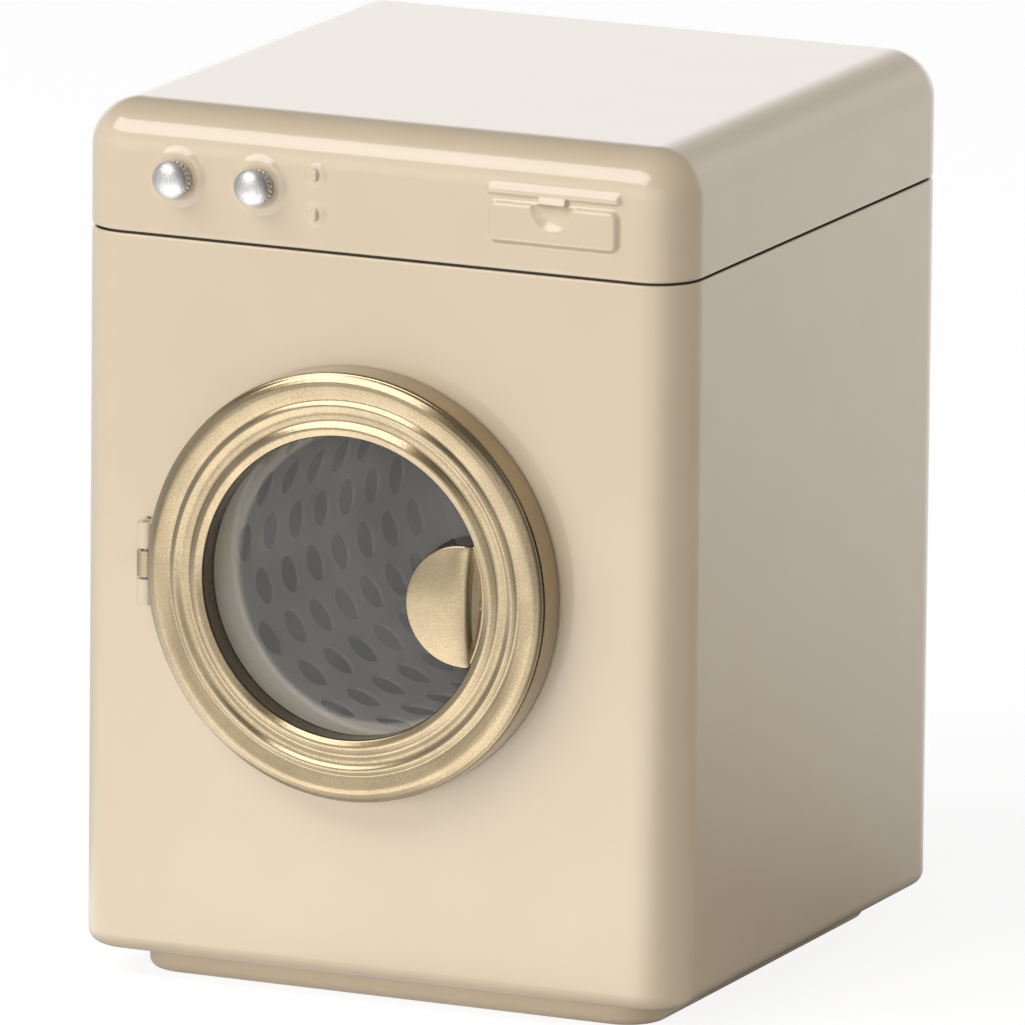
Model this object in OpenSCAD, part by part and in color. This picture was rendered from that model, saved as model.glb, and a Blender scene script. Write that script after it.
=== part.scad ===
// Toy washing machine in enamelled tinplate, at doll's house scale, with a round hinged door,
// a perforated drum that turns, two turning knobs and a slip-on lid.
// Millimetres, +Z up. The origin is the middle of the foot, on the floor. The front faces -Y.

/* [Cabinet] */
// Width of the cabinet and the lid
body_w = 66.5; // [62:0.5:80]
// Depth of the cabinet and the lid, without the door
body_d = 66.5; // [58:0.5:80]
// Height from the floor to the top of the lid
body_h = 90; // [86:1:110]
// Radius of the upright corners
corner_r = 5; // [5:0.25:8]
// Thickness of the cabinet, lid and foot sheet
sheet_t = 0.5; // [0.4:0.05:0.6]
// Outside radius of the turned-in bottom edge
bottom_r = 1.5; // [1:0.1:2]
// Width of the folded lock seam down the back
lock_seam_w = 3.6; // [3:0.2:5]
// How far the lock seam stands off the back
lock_seam_t = 0.35; // [0.2:0.05:0.5]
// Distance of the lock seam from the middle of the back
lock_seam_x = -22; // [-23:1:-18]

/* [Foot] */
// Height of the foot under the cabinet
foot_h = 3; // [2.5:0.25:5]
// How far the foot stands in from the cabinet
foot_inset = 4.8; // [4:0.2:7]
// Radius of the foot's upright corners
foot_r = 4.5; // [3:0.25:6]
// Radius of the foot's bottom edge
foot_edge_r = 0.9; // [0.7:0.1:1.5]
// Width of the rim that holds the foot inside the cabinet
foot_rim_w = 2.6; // [1.5:0.1:2.8]

/* [Lid] */
// Height of the lid's outside
lid_h = 13.2; // [12.5:0.1:18]
// Radius of the lid's top edge
lid_edge_r = 5; // [3:0.25:5]
// Open seam between the lid and the cabinet
seam_gap = 0.25; // [0.15:0.05:0.5]
// How far the neck stands up inside the lid
neck_up = 3.2; // [2:0.2:5]
// How far the neck reaches down inside the cabinet
neck_down = 4.5; // [3:0.25:8]
// Thickness of the neck strip
neck_t = 0.45; // [0.35:0.05:0.6]
// Clearance between the neck and the lid
lid_clear = 0.3; // [0.2:0.05:0.4]

/* [Knobs] */
// Place of the left knob across the front
knob_x = -21.9; // [-23:0.1:-20]
// Distance between the two knobs
knob_pitch = 9; // [8:0.25:10]
// Distance of the knobs below the top of the lid
knob_drop = 6.9; // [6.6:0.1:7.4]
// Radius of the knob's domed head
knob_head_r = 2.1; // [1.8:0.1:2.8]
// Rise of the dome on the head
knob_dome_h = 0.9; // [0.5:0.1:1.4]
// Thickness of the head's straight edge
knob_edge_t = 0.35; // [0.25:0.05:0.6]
// Height of the neck under the head
knob_neck_h = 0.95; // [0.7:0.05:1.5]
// Radius of the neck under the head
knob_neck_r = 1.55; // [1.2:0.05:1.7]
// Radius of the shank that turns in the lid
knob_shank_r = 0.8; // [0.6:0.05:1]
// Running clearance of the shank in the lid
knob_clear = 0.08; // [0.05:0.01:0.15]
// Radius of the washer behind the lid
washer_r = 1.7; // [1.5:0.1:2.2]
// Thickness of the washer behind the lid
washer_t = 0.4; // [0.3:0.05:0.6]
// Radius of the pressed boss round each knob
boss_r = 3.2; // [2.6:0.1:3.4]
// Height of the pressed boss
boss_h = 0.35; // [0.2:0.05:0.5]

/* [Pressed marks] */
// Place of the two pips across the front
pip_x = -6.7; // [-8:0.1:-5]
// Distance of the upper pip below the top of the lid
pip_drop = 5.3; // [5.1:0.1:6]
// Distance between the two pips
pip_pitch = 4; // [3:0.1:4.5]
// Radius of the low round seat of a pip
pip_seat_r = 1.3; // [0.8:0.05:1.5]
// Height of the low round seat
pip_seat_h = 0.25; // [0.15:0.05:0.4]
// Radius of the pip itself
pip_r = 0.5; // [0.4:0.05:0.7]
// Height of the pip off the front
pip_h = 0.55; // [0.4:0.05:0.8]

/* [Soap drawer] */
// Place of the drawer's middle across the front
drawer_x = 19.3; // [17:0.1:20]
// Width of the drawer front
drawer_w = 14.4; // [12:0.2:16]
// Height of the drawer front below its groove
drawer_h = 4.4; // [4:0.1:5]
// Distance of the ledge's top below the top of the lid
drawer_drop = 4.35; // [4:0.05:4.6]
// Height of the ledge over the drawer
ledge_h = 1.2; // [1.1:0.05:1.4]
// How much wider the ledge is than the drawer
ledge_extra = 0.6; // [0:0.1:1]
// Groove between the ledge and the drawer
groove_w = 0.25; // [0.15:0.05:0.4]
// Width of the tab that hangs from the ledge
tab_w = 3.3; // [2.6:0.1:4]
// How far the tab hangs below the ledge
tab_drop = 0.65; // [0.45:0.05:0.9]
// How far the tab's lip stands off the drawer front
tab_lip_h = 0.35; // [0.2:0.05:0.5]
// Radius of the finger scoop
scoop_r = 2.5; // [1.9:0.1:2.8]
// Depth of the finger scoop
scoop_depth = 0.7; // [0.3:0.05:0.8]
// Height that the drawer and ledge stand off the lid
press_h = 0.6; // [0.5:0.05:0.8]
// Corner radius of the pressed shapes
press_r = 0.5; // [0.4:0.05:0.5]

/* [Door] */
// Place of the door's middle across the front
ring_x = -1.5; // [-2.5:0.1:0]
// Height of the door's middle above the floor
ring_z = 43.9; // [42:0.1:47]
// Outside radius of the door ring
ring_r = 21.9; // [21.2:0.1:23]
// Radius of the round opening in the ring
bore_r = 15.4; // [14.6:0.1:15.8]
// How far the ring's face stands off the cabinet
ring_depth = 4.4; // [4.2:0.1:5]
// Thickness of the ring's spun sheet
ring_t = 0.35; // [0.3:0.05:0.4]
// Radius of the ring's rolled outer edge
ring_roll_r = 0.9; // [0.7:0.1:1.2]
// How deep the grooves between the beads lie below the face
bead_drop = 0.5; // [0.35:0.05:0.6]
// How far the middle bead lies below the other two
middle_bead_drop = 0.2; // [0.1:0.05:0.3]
// Radius of the inner bead, next to the opening
inner_bead_r = 0.75; // [0.6:0.05:0.8]
// Radius of the low middle bead
middle_bead_r = 0.48; // [0.45:0.01:0.5]
// Radius of the outer bead
outer_bead_r = 0.55; // [0.5:0.05:0.6]
// Gap between the cabinet and the back of the closed door
door_gap = 0.35; // [0.3:0.05:0.5]
// Distance from the cabinet to the front of the window's rim
window_seat = 1.5; // [1.4:0.05:1.7]
// Thickness of the window's rim
window_t = 0.5; // [0.4:0.05:0.6]
// Height of the window's raised middle over its rim
window_step = 0.25; // [0.15:0.05:0.4]
// Width of the window's rim outside the opening
window_rim_w = 3.3; // [2.8:0.1:3.6]
// Thickness of the ring that closes the back of the door
back_ring_t = 0.4; // [0.3:0.05:0.4]
// Inside radius of the ring that closes the back of the door
back_ring_in_r = 16.2; // [15.9:0.1:16.5]

/* [Door handle] */
// Radius of the half-round pull
handle_r = 6.4; // [5.5:0.1:7]
// Thickness of the pull's sheet
handle_t = 0.5; // [0.4:0.05:0.6]
// Distance of the pull's bend from the door's middle
handle_bend_x = 12.6; // [12:0.1:13]
// Height of the pull's middle below the door's middle
handle_drop = 0.6; // [0:0.1:1]
// Distance from the cabinet to the front of the pull
handle_front = 4.25; // [4:0.05:4.5]
// Slope of the strip that runs back to the ring
handle_slope = 38; // [32:1:45]
// Radius of the bend in the pull's sheet
handle_bend_r = 1; // [0.8:0.05:1.2]
// Radius of the rivet's round head
handle_rivet_r = 0.45; // [0.4:0.05:0.5]
// Radius of the window's finger notch
notch_r = 6.85; // [6.6:0.05:7.2]

/* [Hinge] */
// Distance from the ring's edge to the hinge pin
pin_out = 0.75; // [0.7:0.05:1]
// Distance from the cabinet to the hinge pin
pin_front = 2; // [1.95:0.05:2.2]
// Radius of the hinge pin
pin_r = 0.5; // [0.4:0.05:0.55]
// Running clearance of the pin in the door's knuckle
pin_clear = 0.08; // [0.05:0.01:0.1]
// Outside radius of the hinge knuckles
knuckle_r = 1; // [0.9:0.05:1.05]
// Height of the whole hinge
hinge_h = 8.4; // [7.5:0.1:10]
// Gap between two knuckles
knuckle_gap = 0.3; // [0.2:0.05:0.4]
// Thickness of the hinge sheet
hinge_t = 0.4; // [0.35:0.05:0.45]
// Width of the hinge plate behind the front
hinge_plate_w = 5; // [4:0.25:6]
// Height of the leaf that holds the door's knuckle
leaf_h = 6.4; // [5.8:0.1:7]

/* [Mouth] */
// Inside radius of the mouth behind the door
mouth_r = 17; // [16.8:0.1:17.4]
// Depth of the mouth behind the front
mouth_depth = 5.4; // [4:0.1:7]
// Width of the mouth's lip on the front
mouth_lip_w = 1.3; // [0.8:0.1:1.6]
// Thickness of the mouth's lip on the front
mouth_lip_t = 0.25; // [0.15:0.05:0.25]
// Clearance of the mouth in the front's round hole
mouth_fit = 0.05; // [0.02:0.01:0.1]

/* [Drum] */
// Inside radius of the drum
drum_r = 17.7; // [17.3:0.1:19]
// Thickness of the drum sheet
drum_t = 0.4; // [0.3:0.05:0.5]
// Gap between the mouth and the drum
drum_gap = 0.5; // [0.4:0.05:1]
// Inside radius of the drum's rolled front rim
drum_rim_r = 16.7; // [16.4:0.1:16.8]
// Radius of the roll on the drum's front rim
drum_roll_r = 0.4; // [0.3:0.05:0.5]
// Width of the front rim's band round the drum
drum_band_w = 2.2; // [1.6:0.1:3]
// Radius of the holes in the drum
hole_r = 1.95; // [1.6:0.05:2.05]
// Number of rows of holes round the drum
hole_rows = 22; // [16:2:22]
// Distance between the holes along a row
hole_pitch = 6; // [5.6:0.1:7]
// Depth of the flange on the drum's back
drum_flange_w = 2.4; // [1.8:0.1:3]
// Distance of the pressed ring on the drum's back from the axle
back_bead_at = 11; // [7:0.5:14]
// Radius of the pressed ring on the drum's back
back_bead_r = 1.6; // [1:0.1:2]
// Space between the drum's back edge and the rear wall
drum_rear_space = 7.4; // [7.2:0.1:9]

/* [Drum bearing] */
// Radius of the drum's axle
axle_r = 1; // [0.8:0.05:1.1]
// Running clearance of the axle in its bush
axle_clear = 0.06; // [0.03:0.01:0.1]
// Radius of the axle's head and shoulder
axle_head_r = 2; // [1.8:0.1:2.6]
// Wall of the bearing bush
bush_wall = 0.8; // [0.6:0.05:1]
// Length of the bush behind the bearing plate
bush_len = 1.7; // [1.2:0.1:1.8]
// Radius of the bearing plate's raised middle
plate_top_r = 8; // [7:0.25:9]
// Radius of the bearing plate's rim
plate_rim_r = 15; // [14.5:0.25:16]
// Thickness of the bearing plate
plate_t = 0.6; // [0.5:0.05:0.7]
// Radius of the circle of rivets
rivet_circle_r = 12.7; // [12.3:0.1:12.8]
// Radius of the rivet shanks
rivet_r = 0.7; // [0.5:0.05:0.8]
// Radius of the rivet heads
rivet_head_r = 1.3; // [1.1:0.05:1.5]

/* [Hidden] */
$fn = 72;

// Margin by which a cut runs past the face it opens
past = 1;
// Clearance of a fixed rivet in its hole
rivet_fit = 0.02;
// Face to face gap between parts that move on each other
run_gap = 0.3;
// Gap between two fixed parts that lie side by side
lay_gap = 0.05;

// Heights of the seam and of the lid's lower edge
seam_z = body_h - lid_h;
lid_z = seam_z + seam_gap;

// Knob, pip and drawer places on the lid's front
knob_z = body_h - knob_drop;
knob_bore_r = knob_shank_r + knob_clear;
ledge_z = body_h - drawer_drop - ledge_h / 2;
drawer_top_z = body_h - drawer_drop - ledge_h - groove_w;
scoop_z = body_h - drawer_drop - ledge_h - tab_drop;

// Places along the door's axis, measured outwards from the cabinet's front
ring_base = ring_depth - bead_drop;
bead_gap = 0.02;
inner_bead_at = bore_r + inner_bead_r;
middle_bead_at = inner_bead_at + inner_bead_r + middle_bead_r + bead_gap;
outer_bead_at = middle_bead_at + middle_bead_r + outer_bead_r + bead_gap;
band_edge_r = 0.3;
band_in_r = outer_bead_at + outer_bead_r + band_edge_r;
window_r = bore_r + window_rim_w;
window_fit = 0.1;
window_front = window_seat + window_step;
window_back = window_seat - window_t;
back_ring_back = window_back - back_ring_t;
back_ring_r = ring_r - ring_t - lay_gap;

// Places of the pull, measured outwards from the cabinet's front and from the door's middle
handle_wall_r = bore_r - rivet_fit;
handle_wall_top = ring_depth - inner_bead_r - 0.1;
handle_wall_bottom = window_front + 0.15;
handle_rivet_at = handle_wall_top - handle_rivet_r - 0.2;
handle_rivet_h = 0.35;
handle_tail_h = 0.25;
handle_side_cut = 0.1;
handle_overlap = 0.5;
notch_margin = 0.4;

// Hinge places, measured from the door's middle and the cabinet's front
pin_x = -ring_r - pin_out;
knuckle_h = (hinge_h - 2 * knuckle_gap) / 3;
outer_knuckle_at = knuckle_h + knuckle_gap;
hinge_plate_out = 0.8;
hinge_notch_h = hinge_h + 2 * run_gap;
hinge_notch_top = pin_front + knuckle_r - 0.1;
leaf_in_x = -window_r - 0.5;
leaf_out_x = -ring_r + ring_t + run_gap;
leaf_neck_w = 1;
hinge_rivet_r = 0.4;
hinge_head_r = 0.7;
hinge_head_h = 0.3;
hinge_tail_r = 0.65;
hinge_tail_h = 0.15;
hinge_rivet_at = leaf_h / 2 - 1;
hinge_rivet_x = (leaf_in_x - ring_r + ring_t) / 2;

// Drum places, measured inwards from the cabinet's front
drum_front = mouth_depth + drum_gap;
drum_end = body_d - sheet_t - drum_rear_space;
drum_out_r = drum_r + drum_t;
drum_disc = drum_end - drum_flange_w;
hole_front_edge = 0.8;
hole_back_edge = 1.2;
hole_first = drum_front + drum_band_w + hole_r + hole_front_edge;
hole_last = drum_disc - hole_r - hole_back_edge;
hole_count = floor((hole_last - hole_first - hole_pitch / 2) / hole_pitch) + 1;

// Bearing places, measured inwards from the cabinet's front
shoulder_t = 1.2;
shoulder_end = drum_disc + drum_t + shoulder_t;
bush_front = shoulder_end + run_gap;
bush_flange_t = 0.6;
bush_flange_w = 1;
plate_front = bush_front + bush_flange_t;
plate_flare = 2.2;
bush_end = plate_front + plate_t + bush_len;
retainer_front = bush_end + run_gap;
retainer_t = 0.5;
retainer_w = 1.5;
axle_groove = 0.25;
axle_tail = 0.8;
axle_dome_h = 0.72;
axle_end = retainer_front + retainer_t + axle_tail;
rear_in = body_d - sheet_t;
bush_r = axle_r + axle_clear + bush_wall;
rivet_head_h = 0.6;
rivet_tail_h = 0.35;

// Step of the neck strip below the seam, and how far the ledge stands over the drawer front
neck_step_drop = 0.6;
ledge_rise = 0.1;

enamel = [0.88, 0.83, 0.75];
gold = [0.78, 0.68, 0.46];
steel = [0.72, 0.73, 0.74];
drum_grey = [0.5, 0.5, 0.5];
brass = [0.75, 0.62, 0.35];

// A square with rounded corners, centred
module round_square(w, d, r) {
    square([w - 2 * r, d], center = true);
    square([w, d - 2 * r], center = true);
    for (x = [-1, 1])
        for (y = [-1, 1])
            translate([x * (w / 2 - r), y * (d / 2 - r)])
                circle(r);
}

// Carries a profile once round a square with rounded corners.
// The profile's X runs outwards from the corners' centres, and its Y is the height.
module around(w, d, r) {
    half_x = w / 2 - r;
    half_y = d / 2 - r;
    centres = [[half_x, half_y], [-half_x, half_y], [-half_x, -half_y], [half_x, -half_y]];
    for (side = [0 : 3])
        translate([centres[side][0], centres[side][1], 0])
            rotate([0, 0, 90 * side]) {
                rotate_extrude(angle = 90)
                    children();
                rotate([90, 0, 0])
                    linear_extrude(side % 2 == 0 ? 2 * half_y : 2 * half_x)
                        children();
            }
}

// A quarter of a bent edge: the sheet's outside radius is r, its centre at the origin,
// and it turns from +X towards +Y or, with down, towards -Y
module bent_edge(r, t, down = false) {
    intersection() {
        difference() {
            circle(r);
            circle(r - t);
        }
        translate([0, down ? -r : 0])
            square([r, r]);
    }
}

// Places children on the front: X stays, Y is up, and Z stands out of the cabinet
module on_front(x, z) {
    translate([x, -body_d / 2, z])
        rotate([90, 0, 0])
            children();
}

// Places children on the door's axis
module on_door_axis() {
    on_front(ring_x, ring_z)
        children();
}

// A low plate with rounded corners and a quarter-round edge, rooted in the sheet under Z = 0
module pressed_plate(w, h, rise) {
    root = sheet_t / 2;
    around(w, h, press_r) {
        translate([0, -root])
            square([press_r, root + rise - press_r]);
        translate([0, rise - press_r])
            intersection() {
                circle(press_r);
                square(press_r);
            }
    }
    translate([press_r - w / 2, press_r - h / 2, -root])
        cube([w - 2 * press_r, h - 2 * press_r, root + rise]);
}

// Half the section of a low dome that stands on Y = 0
module dome_section(r, h) {
    sphere_r = (r * r + h * h) / (2 * h);
    intersection() {
        translate([0, h - sphere_r])
            circle(sphere_r);
        square([r, h]);
    }
}

// Rivet on Z = 0: a domed head above, a shank down to the given depth, and a flat tail
module rivet(r, head_r, head_h, depth, tail_r, tail_h) {
    rotate_extrude()
        dome_section(head_r, head_h);
    translate([0, 0, -depth])
        cylinder(r = r, h = depth);
    translate([0, 0, -depth - tail_h])
        cylinder(r = tail_r, h = tail_h);
}

// Folded sheet wall with the front hole, the hinge slots and the lock seam at the back
module cabinet_shell() {
    color(enamel)
    difference() {
        union() {
            around(body_w, body_d, corner_r) {
                translate([corner_r - sheet_t, foot_h + bottom_r])
                    square([sheet_t, seam_z - foot_h - bottom_r]);
                translate([corner_r - bottom_r, foot_h + bottom_r])
                    bent_edge(bottom_r, sheet_t, down = true);
            }
            translate([0, 0, foot_h])
                linear_extrude(sheet_t)
                    difference() {
                        round_square(body_w - 2 * bottom_r, body_d - 2 * bottom_r, corner_r - bottom_r);
                        round_square(
                            body_w - 2 * foot_inset + 2 * run_gap / 3,
                            body_d - 2 * foot_inset + 2 * run_gap / 3,
                            foot_r + run_gap / 3
                        );
                    }
            translate([
                lock_seam_x - lock_seam_w / 2, body_d / 2 - sheet_t / 2, foot_h + bottom_r
            ])
                cube([lock_seam_w, sheet_t / 2 + lock_seam_t, seam_z - foot_h - bottom_r - past]);
        }
        on_door_axis()
            translate([0, 0, -sheet_t - past])
                cylinder(r = mouth_r + sheet_t + mouth_fit, h = sheet_t + 2 * past);
        for (end = [-1, 1])
            on_door_axis()
                translate([
                    pin_x - knuckle_r - mouth_fit,
                    end * outer_knuckle_at - knuckle_h / 2 - mouth_fit,
                    -sheet_t - past
                ])
                    cube([hinge_t + 2 * mouth_fit, knuckle_h + 2 * mouth_fit, sheet_t + 2 * past]);
        for (place = bearing_rivet_places)
            on_door_axis()
                translate([place[0], place[1], -body_d - past])
                    cylinder(r = rivet_r + rivet_fit, h = sheet_t + 2 * past);
    }
}

// Pressed foot: a shallow tray whose rim lies on the cabinet's turned-in edge
module base_pan() {
    pan_w = body_w - 2 * foot_inset;
    pan_d = body_d - 2 * foot_inset;
    rim_z = foot_h + sheet_t;
    color(enamel) {
        around(pan_w, pan_d, foot_r) {
            translate([foot_r - sheet_t, foot_edge_r])
                square([sheet_t, rim_z + sheet_t - foot_edge_r]);
            translate([foot_r - foot_edge_r, foot_edge_r])
                bent_edge(foot_edge_r, sheet_t, down = true);
        }
        linear_extrude(sheet_t)
            round_square(pan_w - 2 * foot_edge_r, pan_d - 2 * foot_edge_r, foot_r - foot_edge_r);
        translate([0, 0, rim_z])
            linear_extrude(sheet_t)
                difference() {
                    round_square(pan_w + 2 * foot_rim_w, pan_d + 2 * foot_rim_w, foot_r);
                    round_square(pan_w - sheet_t, pan_d - sheet_t, foot_r - sheet_t / 2);
                }
    }
}

// Stepped strip inside the top of the cabinet, which the lid slips over
module lid_neck() {
    low = corner_r - sheet_t;
    high = low - lid_clear;
    step_z = seam_z - neck_step_drop;
    color(enamel)
    around(body_w, body_d, corner_r)
        polygon([
            [low, seam_z - neck_down],
            [low, step_z],
            [high, step_z + lid_clear],
            [high, seam_z + neck_up],
            [high - neck_t, seam_z + neck_up],
            [high - neck_t, step_z + lid_clear],
            [low - neck_t, step_z],
            [low - neck_t, seam_z - neck_down]
        ]);
}

// Eyelet that lines the round hole: a thin lip in front, and a clinched bead behind the sheet
module mouth_collar() {
    color(enamel)
    on_door_axis()
        rotate_extrude() {
            translate([mouth_r, -mouth_depth])
                square([sheet_t, mouth_depth + mouth_lip_t]);
            translate([mouth_r, 0])
                square([mouth_lip_w, mouth_lip_t]);
            translate([mouth_r + sheet_t / 2, -2 * sheet_t])
                square([mouth_lip_w - sheet_t / 2, sheet_t]);
        }
}

// One tube of the hinge, with the pin's bore, centred on the pin
module knuckle(height, bore) {
    difference() {
        cylinder(r = knuckle_r, h = height, center = true);
        cylinder(r = bore, h = height + 2 * past, center = true);
    }
}

// Turns children so that Z runs up the hinge pin and X and Y are the front's X and depth
module on_pin(height = 0) {
    on_door_axis()
        translate([pin_x, height, pin_front])
            rotate([-90, 0, 0])
                children();
}

// Two knuckles whose arms pass through slots to a plate behind the front
module hinge_bracket() {
    color(enamel) {
        for (end = [-1, 1]) {
            on_pin(end * outer_knuckle_at)
                knuckle(knuckle_h, pin_r);
            on_door_axis()
                translate([pin_x - knuckle_r, end * outer_knuckle_at - knuckle_h / 2, -sheet_t - hinge_t])
                    cube([hinge_t, knuckle_h, pin_front + sheet_t + hinge_t]);
        }
        on_door_axis()
            translate([pin_x - knuckle_r - hinge_plate_out, -hinge_h / 2, -sheet_t - hinge_t])
                cube([hinge_plate_w, hinge_h, hinge_t]);
    }
}

// Pin through the three knuckles, as long as the hinge
module hinge_pin() {
    color(steel)
    on_pin()
        cylinder(r = pin_r, h = hinge_h, center = true);
}

// Hat-shaped plate that carries the drum's bush off the rear wall
module bearing_plate() {
    color(steel)
    on_door_axis()
        difference() {
            rotate_extrude()
                polygon([
                    [bush_r + rivet_fit, -plate_front],
                    [plate_top_r, -plate_front],
                    [plate_top_r + plate_flare, -rear_in + plate_t],
                    [plate_rim_r, -rear_in + plate_t],
                    [plate_rim_r, -rear_in],
                    [plate_top_r + plate_flare - plate_t, -rear_in],
                    [plate_top_r - plate_t, -plate_front - plate_t],
                    [bush_r + rivet_fit, -plate_front - plate_t]
                ]);
            for (place = bearing_rivet_places)
                translate([place[0], place[1], -rear_in - past])
                    cylinder(r = rivet_r + rivet_fit, h = plate_t + 2 * past);
        }
}

// Four rivets on a circle round the drum's axle
bearing_rivet_places = [
    for (quarter = [0 : 3])
        rivet_circle_r * [cos(45 + 90 * quarter), sin(45 + 90 * quarter)]
];

// Rivets through the bearing plate's rim, with their domed heads on the back
module bearing_rivets() {
    color(steel)
    for (place = bearing_rivet_places)
        on_door_axis()
            translate([place[0], place[1], -body_d])
                rotate([180, 0, 0])
                    rivet(
                        rivet_r, rivet_head_r, rivet_head_h,
                        sheet_t + plate_t, rivet_head_r, rivet_tail_h
                    );
}

// Flanged bush in the middle of the bearing plate
module drum_bush() {
    color(brass)
    on_door_axis()
        rotate_extrude() {
            translate([axle_r + axle_clear, -bush_end])
                square([bush_wall, bush_end - bush_front]);
            translate([axle_r + axle_clear, -plate_front])
                square([bush_wall + bush_flange_w, bush_flange_t]);
        }
}

// Outline of the ring's section, set in by inset to give the sheet's inside
module ring_section(inset) {
    translate([bore_r + inset, 0])
        square([ring_r - bore_r - 2 * inset, ring_base - inset]);
    translate([inner_bead_at, ring_depth - inner_bead_r])
        circle(inner_bead_r - inset);
    translate([middle_bead_at, ring_depth - middle_bead_drop - middle_bead_r])
        circle(middle_bead_r - inset);
    translate([outer_bead_at, ring_depth - outer_bead_r])
        circle(outer_bead_r - inset);
    translate([ring_r - ring_roll_r, ring_depth - ring_roll_r])
        circle(ring_roll_r - inset);
    translate([band_in_r + inset, 0])
        square([ring_r - ring_roll_r - band_in_r - inset, ring_depth - band_edge_r - inset]);
    translate([band_in_r + max(band_edge_r, inset), 0])
        square([ring_r - ring_roll_r - band_in_r - max(band_edge_r, inset), ring_depth - inset]);
    if (inset < band_edge_r)
        translate([band_in_r + band_edge_r, ring_depth - band_edge_r])
            circle(band_edge_r - inset);
}

// Spun ring: side wall, rolled edge, flat band, three beads, bore wall and window flange
module door_ring() {
    roll_z = ring_depth - ring_roll_r;
    color(gold)
    on_door_axis()
        difference() {
            rotate_extrude() {
                difference() {
                    ring_section(0);
                    ring_section(ring_t);
                    square([ring_r - ring_t - past, window_seat]);
                    square([ring_r + past, door_gap]);
                    translate([ring_r - past, roll_z])
                        difference() {
                            square([2 * past, 2 * past]);
                            translate([past - ring_roll_r, 0])
                                circle(ring_roll_r);
                        }
                }
                translate([bore_r, window_seat])
                    square([window_rim_w, ring_t]);
            }
            translate([pin_x - past, -hinge_notch_h / 2, -past])
                cube([3 * past + pin_out, hinge_notch_h, hinge_notch_top + past]);
            handle_rivet_hole();
        }
}

// Clear window with a raised middle and a round finger notch behind the pull
module door_window() {
    color([0.85, 0.88, 0.9, 0.35])
    on_door_axis()
        difference() {
            union() {
                translate([0, 0, window_back])
                    cylinder(r = window_r - window_fit, h = window_t);
                translate([0, 0, window_back])
                    cylinder(r = bore_r - window_fit, h = window_t + window_step);
            }
            intersection() {
                translate([handle_bend_x + 1, -handle_drop, window_back - past])
                    cylinder(r = notch_r, h = window_t + window_step + 2 * past);
                translate([0, 0, window_back - past])
                    cylinder(
                        r = bore_r - window_fit - notch_margin,
                        h = window_t + window_step + 2 * past
                    );
            }
        }
}

// Flat ring that closes the back of the door and clamps the window's rim
module door_back_ring() {
    color(gold)
    on_door_axis()
        difference() {
            translate([0, 0, back_ring_back])
                cylinder(r = back_ring_r, h = back_ring_t);
            translate([0, 0, back_ring_back - past])
                cylinder(r = back_ring_in_r, h = back_ring_t + 2 * past);
            translate([pin_x - past, -hinge_notch_h / 2, back_ring_back - past])
                cube([2 * past + pin_out + ring_t, hinge_notch_h, back_ring_t + 2 * past]);
            for (end = [-1, 1])
                translate([hinge_rivet_x, end * hinge_rivet_at, back_ring_back - past])
                    cylinder(r = hinge_rivet_r + rivet_fit, h = back_ring_t + 2 * past);
        }
}

// Section of the pull across its bend: flat sheet, round bend and sloping strip
module handle_section() {
    bend_z = handle_front - handle_bend_r;
    reach = 2 * handle_bend_r;
    translate([-handle_r, handle_front - handle_t])
        square([handle_r, handle_t]);
    translate([0, bend_z])
        intersection() {
            difference() {
                circle(handle_bend_r);
                circle(handle_bend_r - handle_t);
            }
            polygon([[0, 0], [0, reach], [reach * tan(handle_slope), reach]]);
        }
    translate([0, bend_z])
        rotate(-handle_slope)
            translate([0, handle_bend_r - handle_t])
                square([(handle_wall_r - handle_bend_x) / cos(handle_slope), handle_t]);
}

// Cuts children to the pull's width beyond its bend, from the given distance inside the bend
module handle_strip_width(inside) {
    intersection() {
        children();
        translate([handle_bend_x - inside, handle_side_cut - handle_r, 0])
            cube([handle_wall_r - handle_bend_x + inside, 2 * (handle_r - handle_side_cut), ring_depth]);
    }
}

// Hole for the pull's rivet through the strip and the ring's bore wall
module handle_rivet_hole() {
    translate([handle_bend_x, -handle_drop, handle_rivet_at])
        rotate([0, 90, 0])
            cylinder(r = handle_rivet_r / 2 + rivet_fit, h = ring_r - ring_t - past - handle_bend_x);
}

// Half-round pull, bent back to a curved strip that lies on the ring's bore wall
module door_handle() {
    color(gold)
    on_door_axis()
        difference() {
            intersection() {
                translate([0, -handle_drop, 0]) {
                    intersection() {
                        translate([handle_bend_x, 0, 0])
                            rotate([90, 0, 0])
                                linear_extrude(2 * handle_r, center = true)
                                    handle_section();
                        union() {
                            translate([handle_bend_x, 0, handle_wall_bottom])
                                cylinder(r = handle_r, h = ring_depth);
                            handle_strip_width(handle_overlap)
                                translate([0, 0, handle_wall_bottom])
                                    cylinder(r = bore_r + past, h = ring_depth);
                        }
                    }
                    handle_strip_width(2 * handle_overlap)
                        translate([0, handle_drop, handle_wall_bottom])
                            difference() {
                                cylinder(r = handle_wall_r, h = handle_wall_top - handle_wall_bottom);
                                translate([0, 0, -past])
                                    cylinder(r = handle_wall_r - handle_t, h = ring_depth);
                            }
                }
                cylinder(r = handle_wall_r, h = ring_depth);
            }
            handle_rivet_hole();
            translate([handle_wall_r - handle_t - handle_rivet_h - past, -handle_drop, handle_rivet_at])
                rotate([0, 90, 0])
                    cylinder(r = handle_rivet_r + lay_gap, h = handle_rivet_h + past);
        }
}

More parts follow.
